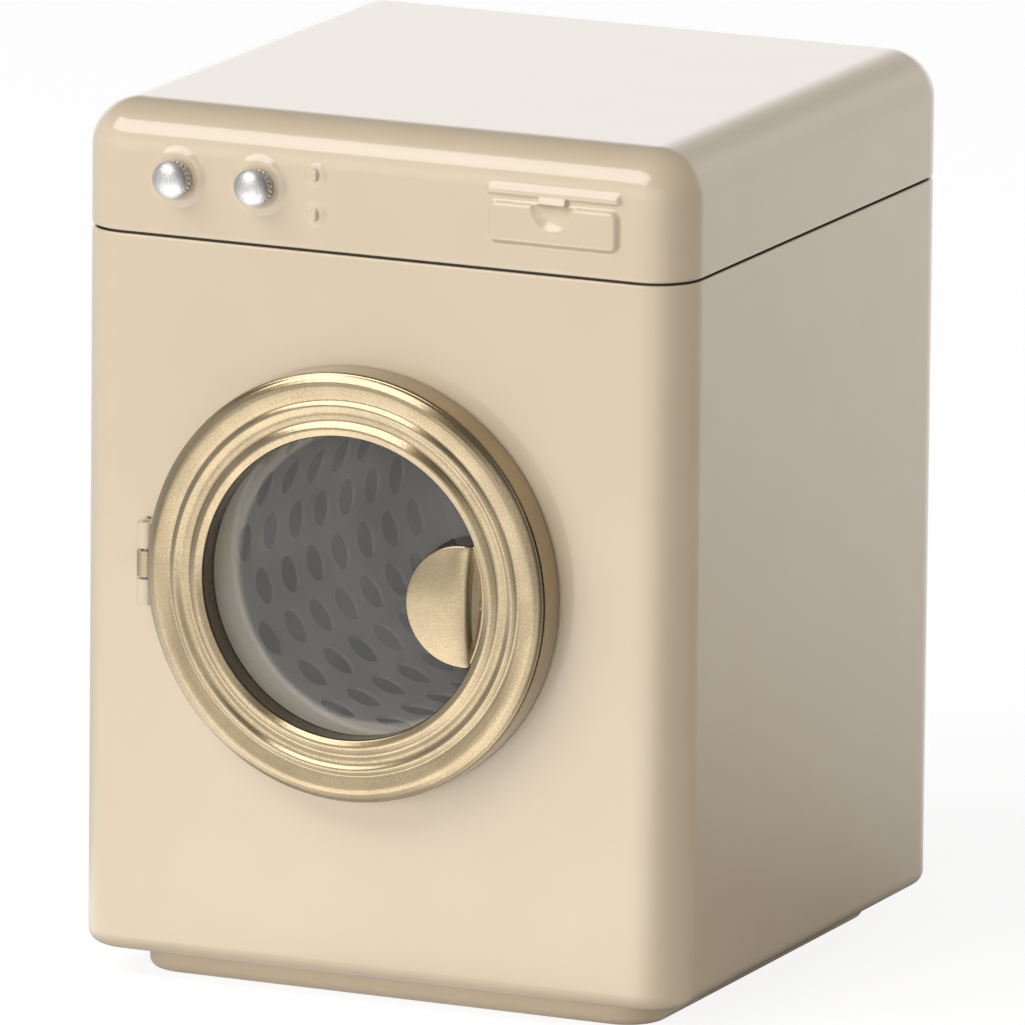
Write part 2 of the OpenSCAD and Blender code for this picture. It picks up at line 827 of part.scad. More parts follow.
// Small rivet that holds the pull's strip to the bore wall
module handle_rivet() {
    color(brass)
    on_door_axis()
        translate([handle_wall_r - handle_t - rivet_fit, -handle_drop, handle_rivet_at])
            rotate([0, -90, 0])
                rivet(
                    handle_rivet_r / 2, handle_rivet_r, handle_rivet_h,
                    handle_t + ring_t + 3 * rivet_fit, handle_rivet_r, handle_tail_h
                );
}

// Middle knuckle with a leaf that lies on the door's back ring
module door_hinge_leaf() {
    color(gold)
    difference() {
        union() {
            on_pin()
                knuckle(knuckle_h, pin_r + pin_clear);
            on_door_axis() {
                translate([pin_x, -knuckle_h / 2, window_back])
                    cube([leaf_in_x - pin_x - leaf_neck_w, knuckle_h, hinge_t]);
                translate([leaf_out_x, -leaf_h / 2, window_back])
                    cube([leaf_in_x - leaf_out_x, leaf_h, hinge_t]);
            }
        }
        on_pin()
            cylinder(r = pin_r + pin_clear, h = knuckle_h + 2 * past, center = true);
        for (end = [-1, 1])
            on_door_axis()
                translate([hinge_rivet_x, end * hinge_rivet_at, window_back - past])
                    cylinder(r = hinge_rivet_r + rivet_fit, h = hinge_t + 2 * past);
    }
}

// Two rivets through the hinge leaf and the door's back ring
module hinge_rivets() {
    color(brass)
    for (end = [-1, 1])
        on_door_axis()
            translate([hinge_rivet_x, end * hinge_rivet_at, window_back + hinge_t])
                rivet(
                    hinge_rivet_r, hinge_head_r, hinge_head_h,
                    hinge_t + back_ring_t, hinge_tail_r, hinge_tail_h
                );
}

// Perforated cylinder of the drum
module drum_shell() {
    color(drum_grey)
    on_door_axis()
        difference() {
            translate([0, 0, -drum_end])
                cylinder(r = drum_out_r, h = drum_end - drum_front - drum_t);
            translate([0, 0, -drum_end - past])
                cylinder(r = drum_r, h = drum_end + past);
            for (row = [0 : hole_rows - 1])
                for (hole = [0 : hole_count - 1])
                    rotate([0, 0, 180 + row * 360 / hole_rows])
                        translate([
                            drum_r - past, 0, -hole_first - hole_pitch * (hole + (row % 2) / 2)
                        ])
                            rotate([0, 90, 0])
                                cylinder(r = hole_r, h = drum_t + 2 * past);
        }
}

// Rim on the drum's mouth: a rolled inner edge and a band over the cylinder
module drum_front_rim() {
    color(drum_grey)
    on_door_axis()
        rotate_extrude() {
            translate([drum_rim_r + drum_roll_r, -drum_front - drum_roll_r])
                circle(drum_roll_r);
            translate([drum_rim_r + drum_roll_r, -drum_front - drum_t])
                square([drum_out_r + drum_t - drum_rim_r - drum_roll_r, drum_t]);
            translate([drum_out_r + rivet_fit, -drum_front - drum_band_w])
                square([drum_t - rivet_fit, drum_band_w]);
        }
}

// Dished back of the drum with a stiffening bead and a flange inside the cylinder
module drum_back() {
    flange_r = drum_r - rivet_fit;
    bore = axle_r + rivet_fit;
    color(drum_grey)
    on_door_axis()
        rotate_extrude() {
            translate([bore, -drum_disc - drum_t])
                square([back_bead_at - back_bead_r + drum_t - bore, drum_t]);
            translate([back_bead_at + back_bead_r - drum_t, -drum_disc - drum_t])
                square([flange_r - back_bead_at - back_bead_r + drum_t, drum_t]);
            translate([back_bead_at, -drum_disc - drum_t])
                intersection() {
                    difference() {
                        circle(back_bead_r);
                        circle(back_bead_r - drum_t);
                    }
                    translate([-back_bead_r, 0])
                        square([2 * back_bead_r, back_bead_r]);
                }
            translate([flange_r - drum_t, -drum_end])
                square([drum_t, drum_end - drum_disc]);
        }
}

// Axle with a domed head in the drum, a shoulder behind it and a groove for the retainer
module drum_axle() {
    color(steel)
    on_door_axis()
        rotate_extrude() {
            translate([0, -drum_disc])
                dome_section(axle_head_r, axle_dome_h);
            translate([0, -drum_disc - drum_t])
                square([axle_r, drum_t]);
            translate([0, -shoulder_end])
                square([axle_head_r, shoulder_end - drum_disc - drum_t]);
            translate([0, -retainer_front])
                square([axle_r, retainer_front - shoulder_end]);
            translate([0, -retainer_front - retainer_t])
                square([axle_r - axle_groove, retainer_t]);
            translate([0, -axle_end])
                square([axle_r, axle_end - retainer_front - retainer_t]);
        }
}

// Push-on washer in the axle's groove, behind the bush
module axle_retainer() {
    color(steel)
    on_door_axis()
        translate([0, 0, -retainer_front - retainer_t])
            difference() {
                cylinder(r = axle_r + retainer_w, h = retainer_t);
                translate([0, 0, -past])
                    cylinder(r = axle_r - axle_groove + rivet_fit, h = retainer_t + 2 * past);
            }
}

// Outline of half the lid's section, set in by inset to give the sheet's inside
module lid_section(inset) {
    square([corner_r - inset, body_h - lid_edge_r]);
    if (corner_r > lid_edge_r)
        square([corner_r - lid_edge_r, body_h - inset]);
    intersection() {
        translate([corner_r - lid_edge_r, body_h - lid_edge_r])
            circle(lid_edge_r - inset);
        square([corner_r, body_h]);
    }
}

// Pressed drawer front: plate with a dished finger scoop, and a ledge whose tab slopes out over it
module soap_drawer() {
    dish_r = (scoop_r * scoop_r + scoop_depth * scoop_depth) / (2 * scoop_depth);
    on_front(drawer_x, drawer_top_z - drawer_h / 2)
        difference() {
            pressed_plate(drawer_w, drawer_h, press_h);
            translate([0, scoop_z - drawer_top_z + drawer_h / 2, press_h])
                intersection() {
                    translate([0, 0, dish_r - scoop_depth])
                        sphere(dish_r);
                    translate([-scoop_r, -scoop_r, -scoop_depth])
                        cube([2 * scoop_r, scoop_r, 2 * scoop_depth]);
                }
        }
    on_front(drawer_x, ledge_z)
        pressed_plate(drawer_w + ledge_extra, ledge_h, press_h + ledge_rise);
    on_front(drawer_x - tab_w / 2, ledge_z)
        rotate([90, 0, 90])
            linear_extrude(tab_w)
                polygon([
                    [0, -sheet_t / 2],
                    [0, press_h + ledge_rise],
                    [-ledge_h / 2 - tab_drop, press_h + tab_lip_h],
                    [-ledge_h / 2 - tab_drop, -sheet_t / 2]
                ]);
}

// Round marks pressed into the front: a boss for each knob, and two pips
module pressed_marks() {
    for (x = [knob_x, knob_x + knob_pitch])
        on_front(x, knob_z)
            cylinder(r1 = boss_r, r2 = boss_r - 2 * boss_h, h = boss_h);
    for (z = [body_h - pip_drop, body_h - pip_drop - pip_pitch])
        on_front(pip_x, z) {
            cylinder(r1 = pip_seat_r, r2 = pip_seat_r - 2 * pip_seat_h, h = pip_seat_h);
            rotate_extrude()
                intersection() {
                    translate([0, pip_h - pip_r])
                        circle(pip_r);
                    square([pip_r, pip_h]);
                }
        }
}

// Drawn cap with its front's pressed shapes and the two knob holes
module lid_shell() {
    inner_w = body_w - 2 * corner_r;
    inner_d = body_d - 2 * corner_r;
    color(enamel)
    difference() {
        union() {
            around(body_w, body_d, corner_r)
                difference() {
                    lid_section(0);
                    lid_section(sheet_t);
                    square([corner_r, lid_z]);
                }
            translate([-inner_w / 2, -inner_d / 2, body_h - sheet_t])
                cube([inner_w, inner_d, sheet_t]);
            soap_drawer();
            pressed_marks();
        }
        for (x = [knob_x, knob_x + knob_pitch])
            on_front(x, knob_z)
                translate([0, 0, -sheet_t - past])
                    cylinder(r = knob_bore_r, h = sheet_t + boss_h + 2 * past);
    }
}

// Turned knob: domed head, neck, and a shank through the lid
module knob(x) {
    neck_at = boss_h + run_gap;
    head_at = neck_at + knob_neck_h;
    shank_end = sheet_t + run_gap + washer_t;
    color(steel)
    on_front(x, knob_z)
        rotate_extrude() {
            translate([0, -shank_end])
                square([knob_shank_r, shank_end + head_at]);
            translate([0, neck_at])
                square([knob_neck_r, knob_neck_h]);
            translate([0, head_at])
                square([knob_head_r, knob_edge_t]);
            translate([0, head_at + knob_edge_t])
                dome_section(knob_head_r, knob_dome_h);
        }
}

// Washer pressed on the shank's end, inside the lid
module knob_washer(x) {
    color(steel)
    on_front(x, knob_z)
        translate([0, 0, -sheet_t - run_gap - washer_t])
            difference() {
                cylinder(r = washer_r, h = washer_t);
                translate([0, 0, -past])
                    cylinder(r = knob_shank_r + rivet_fit, h = washer_t + 2 * past);
            }
}

module knob_left() {
    knob(knob_x);
}

module knob_left_washer() {
    knob_washer(knob_x);
}

module knob_right() {
    knob(knob_x + knob_pitch);
}

module knob_right_washer() {
    knob_washer(knob_x + knob_pitch);
}

cabinet_shell();
base_pan();
lid_neck();
mouth_collar();
hinge_bracket();
hinge_pin();
bearing_plate();
bearing_rivets();
drum_bush();
door_ring();
door_window();
door_back_ring();
door_handle();
handle_rivet();
door_hinge_leaf();
hinge_rivets();
drum_shell();
drum_front_rim();
drum_back();
drum_axle();
axle_retainer();
lid_shell();
knob_left();
knob_left_washer();
knob_right();
knob_right_washer();
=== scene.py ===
"""Looks of a doll's house washing machine in cream enamelled tinplate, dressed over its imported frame."""

import math

import bmesh
import bpy
import numpy as np
from mathutils import Matrix, Vector


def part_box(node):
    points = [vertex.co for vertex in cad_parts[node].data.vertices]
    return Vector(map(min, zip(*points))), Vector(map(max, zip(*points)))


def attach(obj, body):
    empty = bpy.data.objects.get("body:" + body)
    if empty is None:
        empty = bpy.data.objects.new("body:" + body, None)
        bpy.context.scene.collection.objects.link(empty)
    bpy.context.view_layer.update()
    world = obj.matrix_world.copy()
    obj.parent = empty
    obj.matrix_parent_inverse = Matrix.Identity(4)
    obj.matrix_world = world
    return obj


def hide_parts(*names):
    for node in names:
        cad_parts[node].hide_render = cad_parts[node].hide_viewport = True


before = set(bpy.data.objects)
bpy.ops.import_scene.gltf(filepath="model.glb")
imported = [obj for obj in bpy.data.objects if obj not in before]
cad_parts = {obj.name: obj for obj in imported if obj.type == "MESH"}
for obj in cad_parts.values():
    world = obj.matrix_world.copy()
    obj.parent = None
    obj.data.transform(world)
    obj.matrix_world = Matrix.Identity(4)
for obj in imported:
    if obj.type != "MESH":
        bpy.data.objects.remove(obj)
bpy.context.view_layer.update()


# Camera
# The photograph is taken from far off with a long lens, a little above the lid and to the right.
# The angles, the distance and the shift are those at which the machine's outline falls as it does there.
mm = 0.001
camera_azimuth = math.radians(24.485)
camera_elevation = math.radians(12.402)
camera_roll = math.radians(0.5597)
camera_distance = 1.8579
camera_target = Vector((0, 0, 45 * mm))
camera_lens = 644.45

back = Vector((
    math.sin(camera_azimuth) * math.cos(camera_elevation),
    -math.cos(camera_azimuth) * math.cos(camera_elevation),
    math.sin(camera_elevation),
))
level = Vector((math.cos(camera_azimuth), math.sin(camera_azimuth), 0))
upright = back.cross(level)
rolled_x = level * math.cos(camera_roll) + upright * math.sin(camera_roll)
rolled_y = upright * math.cos(camera_roll) - level * math.sin(camera_roll)

camera_data = bpy.data.cameras.new("camera")
camera_data.lens = camera_lens
camera_data.shift_x = -0.00017
camera_data.shift_y = -0.00468
camera_data.clip_end = 20
camera = bpy.data.objects.new("camera", camera_data)
bpy.context.scene.collection.objects.link(camera)
camera.matrix_world = Matrix.Translation(camera_target + back * camera_distance) @ Matrix(
    (rolled_x, rolled_y, back)
).transposed().to_4x4()
bpy.context.scene.camera = camera
bpy.context.scene.view_settings.view_transform = "Standard"


# Floor and room
# A white table in a white room, as product pictures are lit, with a dark screen on the right and
# a fainter one on the left. The eye sees table and room pure white. The light on the object stays
# plain, and its shadow stays.
floor_half = 3.0
table_plain = 0.8
table_seen = 0.24
table_seen_glow = 0.86
# Painted light and shade that gloss sees on the table: a pool of light in front, a shadow behind, shade
# under the machine.
table_painted_light = 1.6
table_painted_shadow = 0.15
table_near = (40 * mm, 420 * mm)
table_painted_light_from = (43 * mm, 62 * mm)
table_clear_from = (33 * mm, 43 * mm)
under_painted_shade_glow = 0.6
room_soft = 0.19
wall_behind = 0.36
wall_front = 0.3
ceiling = 0.22
ceiling_from = (0.26, 0.56)
right_screen_depth = 0.93
left_screen_depth = 0.35

# Bearings: degrees from the front towards the right, then the cosines between which each fades in.
table_painted_light_at = (-24, 0.3, 0.9)
table_painted_shadow_at = (150, 0.2, 0.8)
wall_behind_at = (200, 0.6, 0.98)
wall_front_at = (-20, 0.6, 0.98)
right_screen_at = (92, 0.34, 0.95)
left_screen_at = (-85, 0.5, 0.97)


class Socket:
    """One output of a node. Operators on it add Math nodes, and node() adds any other kind."""

    def __init__(self, tree, output=None):
        self.tree = tree
        self.output = output

    def node(self, kind, settings, inputs, output=0):
        """Adds a node: first its settings, then the values and links of its sockets."""
        made = self.tree.nodes.new(kind)
        for name, value in settings.items():
            setattr(made, name, value)
        for name, value in inputs.items():
            if isinstance(value, Socket):
                self.tree.links.new(value.output, made.inputs[name])
            else:
                made.inputs[name].default_value = value
        return Socket(self.tree, made.outputs[output])

    def maths(self, operation, *values):
        """A Math node on the given values, in their order."""
        return self.node("ShaderNodeMath", {"operation": operation}, dict(enumerate(values)))

    def vectors(self, operation, *values, output=0):
        """A Vector Math node on the given values, in their order."""
        return self.node("ShaderNodeVectorMath", {"operation": operation}, dict(enumerate(values)), output)

    def __add__(self, other):
        return self.maths("ADD", self, other)

    def __radd__(self, other):
        return self.maths("ADD", other, self)

    def __sub__(self, other):
        return self.maths("SUBTRACT", self, other)

    def __rsub__(self, other):
        return self.maths("SUBTRACT", other, self)

    def __mul__(self, other):
        return self.maths("MULTIPLY", self, other)

    def __rmul__(self, other):
        return self.maths("MULTIPLY", other, self)

    def __pow__(self, other):
        return self.maths("POWER", self, other)

    def size(self):
        """The value without its sign."""
        return self.maths("ABSOLUTE", self)

    def most(self, other):
        """The larger of two values."""
        return self.maths("MAXIMUM", self, other)

    def axis(self, name):
        """One coordinate of a vector."""
        return self.node("ShaderNodeSeparateXYZ", {}, {"Vector": self}, name)

    def between(self, low, high):
        """Eases from 0 at low to 1 at high."""
        settings = {"interpolation_type": "SMOOTHSTEP"}
        return self.node("ShaderNodeMapRange", settings, {"Value": self, "From Min": low, "From Max": high})

    def span(self, low, high):
        """The low value where this is 0, and the high one where it is 1."""
        return low + self * (high - low)

    def noise(self, size, detail, stretch=(1, 1, 1)):
        """Smooth noise about 0.5 on a vector, with bumps of that size, drawn out by stretch."""
        scaled = self.vectors("MULTIPLY", self, tuple(1 / (size * along) for along in stretch))
        return self.node("ShaderNodeTexNoise", {}, {"Vector": scaled, "Scale": 1.0, "Detail": detail}, "Fac")

    def blend(self, first, second):
        """The first colour where this is 0, and the second where it is 1."""
        return self.node("ShaderNodeMix", {"data_type": "RGBA"}, {0: self, 6: first, 7: second}, 2)

    def bump(self):
        """The normal of this height in metres."""
        return self.node("ShaderNodeBump", {}, {"Height": self, "Distance": 1.0})


def start_finish(name, **constants):
    """A material with its Principled shader, constants on its own sockets, and Object coordinates."""
    made = bpy.data.materials.new(name)
    made.use_nodes = True
    shader = made.node_tree.nodes["Principled BSDF"]
    for socket, value in constants.items():
        shader.inputs[socket.replace("_", " ")].default_value = value
    place = Socket(made.node_tree).node("ShaderNodeTexCoord", {}, {}, "Object")
    return made, shader, place


def feed(shader, **links):
    """Links sockets to the shader's inputs of those names."""
    for name, value in links.items():
        value.tree.links.new(value.output, shader.inputs[name.replace("_", " ")])


def ray_kinds(start):
    """1 for a ray from the camera, and 1 for a ray that comes off gloss or through glass."""
    camera_ray = start.node("ShaderNodeLightPath", {}, {}, "Is Camera Ray")
    gloss = start.node("ShaderNodeLightPath", {}, {}, "Is Glossy Ray")
    glass = start.node("ShaderNodeLightPath", {}, {}, "Is Transmission Ray")
    return camera_ray, gloss.most(glass)


def facing(start, azimuth, low, high):
    """Rises from 0 to 1 as a direction turns towards an azimuth: low and high are cosines."""
    turn = math.radians(azimuth)
    flat = start.vectors("MULTIPLY", start, (1, 1, 0))
    unit = flat.vectors("NORMALIZE", flat)
    cosine = unit.vectors("DOT_PRODUCT", unit, (math.sin(turn), -math.cos(turn), 0), output="Value")
    return cosine.between(low, high)


def unscreened(start):
    """1 in most directions, near 0 towards the screen on the right and less towards the left one."""
    right = 1 - facing(start, *right_screen_at) * right_screen_depth
    return right * (1 - facing(start, *left_screen_at) * left_screen_depth)


def floor_finish():
    """A table that is white to the eye and plain to the lamps.

    Gloss sees painted light on it: a painted pool of light in front, a painted shadow behind, and painted
    shade close under the machine and towards the screens.
    """
    made, shader, place = start_finish("floor_white", Roughness=0.9, Specular_IOR_Level=0.1)
    camera_ray, gloss_ray = ray_kinds(place)
    away = place.vectors("LENGTH", place, output="Value")
    near = 1 - away.between(*table_near)
    # Painted light for gloss rays: a brighter pool in front, a painted shadow behind and painted shade under
    # the machine.
    lit = 1 + facing(place, *table_painted_light_at) * near * away.between(*table_painted_light_from) * table_painted_light
    lit = lit - facing(place, *table_painted_shadow_at) * near * table_painted_shadow
    clear = place.axis("X").size().most(place.axis("Y").size()).between(*table_clear_from)
    lit = lit * (under_painted_shade_glow + clear * (1 - under_painted_shade_glow))
    feed(
        shader,
        Base_Color=table_plain + camera_ray * (table_seen - table_plain) - gloss_ray * table_plain,
        Emission_Color=camera_ray * table_seen_glow + gloss_ray * lit * unscreened(place),
    )
    shader.inputs["Emission Strength"].default_value = 1.0
    return made


floor_mesh = bpy.data.meshes.new("floor")
floor_mesh.from_pydata(
    [(-floor_half, -floor_half, 0), (floor_half, -floor_half, 0),
     (floor_half, floor_half, 0), (-floor_half, floor_half, 0)],
    [], [(0, 1, 2, 3)],
)
floor = bpy.data.objects.new("floor", floor_mesh)
bpy.context.scene.collection.objects.link(floor)
floor_mesh.materials.append(floor_finish())

world = bpy.data.worlds.new("room")
bpy.context.scene.world = world
world.use_nodes = True
sky = Socket(world.node_tree).node("ShaderNodeTexCoord", {}, {}, "Generated")
camera_ray, gloss_ray = ray_kinds(sky)
walls = (1 + facing(sky, *wall_behind_at) * wall_behind) * unscreened(sky)
walls = walls * (1 + facing(sky, *wall_front_at) * wall_front)
gloss_room = walls + (ceiling - walls) * sky.axis("Z").between(*ceiling_from)
room_light = room_soft + camera_ray * (1 - room_soft) + gloss_ray * (gloss_room - room_soft)
world.node_tree.links.new(room_light.output, world.node_tree.nodes["Background"].inputs["Color"])


def softbox(name, azimuth, elevation, distance, width, height, radiance, in_gloss):
    """A lit rectangle at a bearing from the object, facing it. Its power gives the radiance asked for."""
    data = bpy.data.lights.new(name, "AREA")
    data.shape = "RECTANGLE"
    data.size = width
    data.size_y = height
    data.energy = radiance * math.pi * width * height
    lamp = bpy.data.objects.new(name, data)
    bpy.context.scene.collection.objects.link(lamp)
    turn = math.radians(azimuth)
    rise = math.radians(elevation)
    towards = Vector((
        math.sin(turn) * math.cos(rise),
        -math.cos(turn) * math.cos(rise),
        math.sin(rise),
    ))
    lamp.location = camera_target + towards * distance
    lamp.rotation_mode = "QUATERNION"
    lamp.rotation_quaternion = towards.to_track_quat("Z", "Y")
    lamp.visible_camera = False
    lamp.visible_glossy = in_gloss


# Only the strip shows in the enamel and the gold, as their white lines. The panel and the fill
# light them without being seen there.
softbox(
    "front_panel", azimuth=-14, elevation=10, distance=1.3, width=2.4, height=0.44,
    radiance=2.7, in_gloss=False,
)
softbox(
    "strip_above", azimuth=-34, elevation=45, distance=1.25, width=1.15, height=0.56,
    radiance=3.9, in_gloss=True,
)
softbox(
    "right_fill", azimuth=125, elevation=14, distance=1.3, width=0.8, height=0.5,
    radiance=3.6, in_gloss=False,
)


# Cabinet
# A folded box of tinplate, lock-seamed down the back, turned in at the bottom, with a round
# hole in front for the mouth. It is dipped in glossy cream enamel, which rounds every edge.
cabinet_low, cabinet_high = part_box("cabinet_shell")
front_y = cabinet_low.y
half_x = cabinet_high.x
half_y = -front_y
corner_r = 5 * mm
corner_steps = 14
sheet = 0.5 * mm
bottom_r = 1.5 * mm
support = 0.1 * mm
side_steps = 10
flange_inset = 4.7 * mm
flange_r = 4.6 * mm
seam_x = -22 * mm
seam_half_w = 1.8 * mm
seam_slope = 0.45 * mm
seam_slope_steps = 5
seam_proud = 0.35 * mm
seam_top = cabinet_high.z - 1 * mm
door_low, door_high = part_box("door_ring")
mouth_centre = ((door_low.x + door_high.x) / 2, front_y, (door_low.z + door_high.z) / 2)
mouth_hole_r = 17.55 * mm
mouth_hole_steps = 180
slot_x = (-25.2 * mm, -24.7 * mm)
slot_half_h = 1.35 * mm
slot_from_middle = 2.9 * mm
rear_rivet_circle = 12.7 * mm
rear_rivet_at = (45, 135, 225, 315)
rear_rivet_hole_r = 0.72 * mm
rear_rivet_steps = 32
cut_past = 2 * mm

enamel_cream = (218, 200, 172)
enamel_deep = (216, 197, 168)
# Dull thin enamel of the inside, made darker still as painted shade.
enamel_dull_and_shade = (96, 90, 80)
mottle_size = 9 * mm
mottle_spread = (0.2, 0.8)
ripple_size = 16 * mm
ripple_height = 8e-6
peel_size = 0.9 * mm
peel_height = 0.4e-6
skin_inner = corner_r - 0.8 * sheet
skin_outer = corner_r - 0.3 * sheet


def paint(screen_colour):
    """A screen colour, its parts from 0 to 255, as the linear colour that renders as it: the sRGB curve."""
    shares = np.array(screen_colour) / 255
    linear = np.where(shares <= 0.04045, shares / 12.92, ((shares + 0.055) / 1.055) ** 2.4)
    return (*linear.tolist(), 1)


def dress(finish, *nodes):
    """Gives CAD nodes their finish."""
    for name in nodes:
        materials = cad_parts[name].data.materials
        materials.clear()
        materials.append(finish)


def enamel_finish(name, dull_and_shaded_inside):
    """Glossy stoved enamel: faint mottle, a long low ripple in the sheet and fine orange peel.

    Inside the box the dip is thin and dull, and its colour is made darker still as painted shade, which
    blackens the inside and the seam under the lid.
    A place is inside where its distance to the corners' centre lines is less than the corner's radius by
    most of the sheet, and it is above the turned-in bottom edge.
    """
    made, shader, place = start_finish(
        name, Roughness=0.34, Coat_Weight=1.0, Coat_Roughness=0.05, Coat_IOR=1.5, IOR=1.5
    )
    mottle = place.noise(mottle_size, detail=3.0).between(*mottle_spread)
    ripple = place.noise(ripple_size, detail=1.0) * ripple_height
    peel = place.noise(peel_size, detail=1.0) * peel_height
    colour = mottle.blend(paint(enamel_cream), paint(enamel_deep))
    # Inside the box: dull enamel, darkened further as painted shade.
    if dull_and_shaded_inside:
        aside = (place.axis("X").size() - (half_x - corner_r)).most(0)
        ahead = (place.axis("Y").size() - (half_y - corner_r)).most(0)
        skin = ((aside * aside + ahead * ahead) ** 0.5).between(skin_inner, skin_outer)
        turned_in = 1 - place.axis("Z").between(cabinet_low.z + bottom_r, cabinet_low.z + 2 * bottom_r)
        colour = skin.most(turned_in).blend(paint(enamel_dull_and_shade), colour)
    feed(shader, Base_Color=colour, Normal=(ripple + peel).bump())
    return made


enamel = enamel_finish("enamel", dull_and_shaded_inside=False)
cabinet_enamel = enamel_finish("cabinet_enamel", dull_and_shaded_inside=True)
dress(enamel, "mouth_collar", "hinge_bracket")
# The neck sits inside, so its painted shade darkens the seam under the lid.
dress(cabinet_enamel, "lid_neck")


def ease(share):
    """Rises smoothly from 0 to 1 as the share goes from 0 to 1."""
    share = np.clip(share, 0, 1)
    return share * share * (3 - 2 * share)


def outline(runs):
    """Once round a square with rounded corners, anticlockwise from the left end of the front.

    runs gives the columns along the front, right, back and left side, from -1 to 1 in the way of
    travel. Returns each column's place on the unit square of the corners' centres, and its
    direction outwards. A point is place * core + direction * radius.
    """
    spots = []
    outs = []
    for side, run in enumerate(runs):
        heading = math.pi / 2 * (side - 1)
        out = np.array((math.cos(heading), math.sin(heading)))
        along = np.array((-out[1], out[0]))
        turn = heading + np.linspace(0, math.pi / 2, corner_steps + 1)[1:-1]
        spots.append(out + run[:, None] * along)
        spots.append(np.tile(out + along, (len(turn), 1)))
        outs.append(np.tile(out, (len(run), 1)))
        outs.append(np.stack((np.cos(turn), np.sin(turn)), axis=1))
    return np.concatenate(spots), np.concatenate(outs)


def carry_round(shape, cores, radii, heights):
    """Carries a profile once round an outline: each row has its core half-widths, radius and height."""
    spots, outs = shape
    flat = spots[None] * np.asarray(cores)[:, None, :] + outs[None] * np.asarray(radii)[:, None, None]
    tall = np.broadcast_to(np.asarray(heights)[:, None, None], (*flat.shape[:2], 1))
    return np.concatenate((flat, tall), axis=2)


def smooth_piece(piece, sharp_degrees):
    """Shades a piece smooth, apart from the edges that turn by more than the given angle."""
    piece.data.shade_smooth()
    piece.data.set_sharp_from_angle(angle=math.radians(sharp_degrees))


def build_piece(name, grids, sharp_degrees=40):
    """One mesh from grids of points. A grid is (points, rows closed, columns closed).

    Neighbouring rows and columns are joined by quads, doubles are merged, and edges sharper
    than the given angle are kept sharp.
    """
    corners = []
    faces = []
    first = 0
    for points, rows_closed, columns_closed in grids:
        rows, columns = points.shape[:2]
        index = first + np.arange(rows * columns).reshape(rows, columns)
        if rows_closed:
            index = np.concatenate((index, index[:1]), axis=0)
        if columns_closed:
            index = np.concatenate((index, index[:, :1]), axis=1)
        quads = np.stack((index[:-1, :-1], index[:-1, 1:], index[1:, 1:], index[1:, :-1]), axis=-1)
        corners.append(points.reshape(-1, 3))
        faces.append(quads.reshape(-1, 4))
        first += rows * columns
    mesh = bpy.data.meshes.new(name)
    mesh.from_pydata(np.concatenate(corners).tolist(), [], np.concatenate(faces).tolist())
    work = bmesh.new()
    work.from_mesh(mesh)
    bmesh.ops.remove_doubles(work, verts=work.verts, dist=1e-7)
    work.to_mesh(mesh)
    work.free()
    piece = bpy.data.objects.new(name, mesh)
    bpy.context.scene.collection.objects.link(piece)
    smooth_piece(piece, sharp_degrees)
    return piece


def drill(piece, cutters, sharp_degrees=40):
    """Cuts closed grids out of a piece."""
    tool = build_piece("cutter", cutters)
    modifier = piece.modifiers.new("drill", "BOOLEAN")
    modifier.operation = "DIFFERENCE"
    modifier.solver = "EXACT"
    modifier.object = tool
    graph = bpy.context.evaluated_depsgraph_get()
    cut = bpy.data.meshes.new_from_object(piece.evaluated_get(graph))
    piece.modifiers.clear()
    old = piece.data
    piece.data = cut
    cut.name = piece.name
    bpy.data.meshes.remove(old)
    bpy.data.objects.remove(tool)
    smooth_piece(piece, sharp_degrees)


def turned(profile, centre, steps, grooves=None):
    """A profile of (radius, height) turned about a line that stands out of the front at centre.

    Height runs along -Y. With grooves, a function of the profile's rows and the angle, the radius
    is scaled by what it gives.
    """
    profile = np.asarray(profile)
    angle = np.linspace(0, 2 * math.pi, steps, endpoint=False)
    radius = profile[:, :1] * np.ones(steps)
    if grooves is not None:
        radius = radius * grooves(profile, angle)
    x = centre[0] + radius * np.cos(angle)
    y = centre[1] - profile[:, 1:] * np.ones(steps)
    z = centre[2] + radius * np.sin(angle)
    return np.stack((x, y, z), axis=2)


def rod(centre, radius, reach, steps):
    """A closed cylinder along Y about a point, as a grid: a turned rectangle."""
    return turned([(0, -reach), (radius, -reach), (radius, reach), (0, reach)], centre, steps)


def block(low, high):
    """A closed box between two corners, as a grid: its outline at both heights, and their middles."""
    flat = np.array(((low[0], low[1]), (high[0], low[1]), (high[0], high[1]), (low[0], high[1])))
    middle = np.broadcast_to(flat.mean(axis=0), flat.shape)
    rows = [(middle, low[2]), (flat, low[2]), (flat, high[2]), (middle, high[2])]
    return np.stack([np.column_stack((xy, np.full(len(flat), z))) for xy, z in rows])


def bend(middle_radius, middle_height, radius, start, end, steps=7):
    """Radii and heights of a bend in a swept sheet, from start to end degrees about its middle."""
    turn = np.radians(np.linspace(start, end, steps))
    return middle_radius + radius * np.cos(turn), middle_height + radius * np.sin(turn)


def side_columns(steps, *extra):
    """Columns along a straight side from -1 to 1, with one close to each end and any others given."""
    close = 1 - support / (half_x - corner_r)
    return np.unique(np.round(np.concatenate((np.linspace(-1, 1, steps), (-close, close), *extra)), 6))


def finish_piece(piece, finish, body, slot, *nodes):
    """Gives a new piece its finish, the body it moves with and what it stands for. The material slot is not
    used.
    """
    piece.data.materials.clear()
    piece.data.materials.append(finish)
    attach(piece, body)
    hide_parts(*nodes)


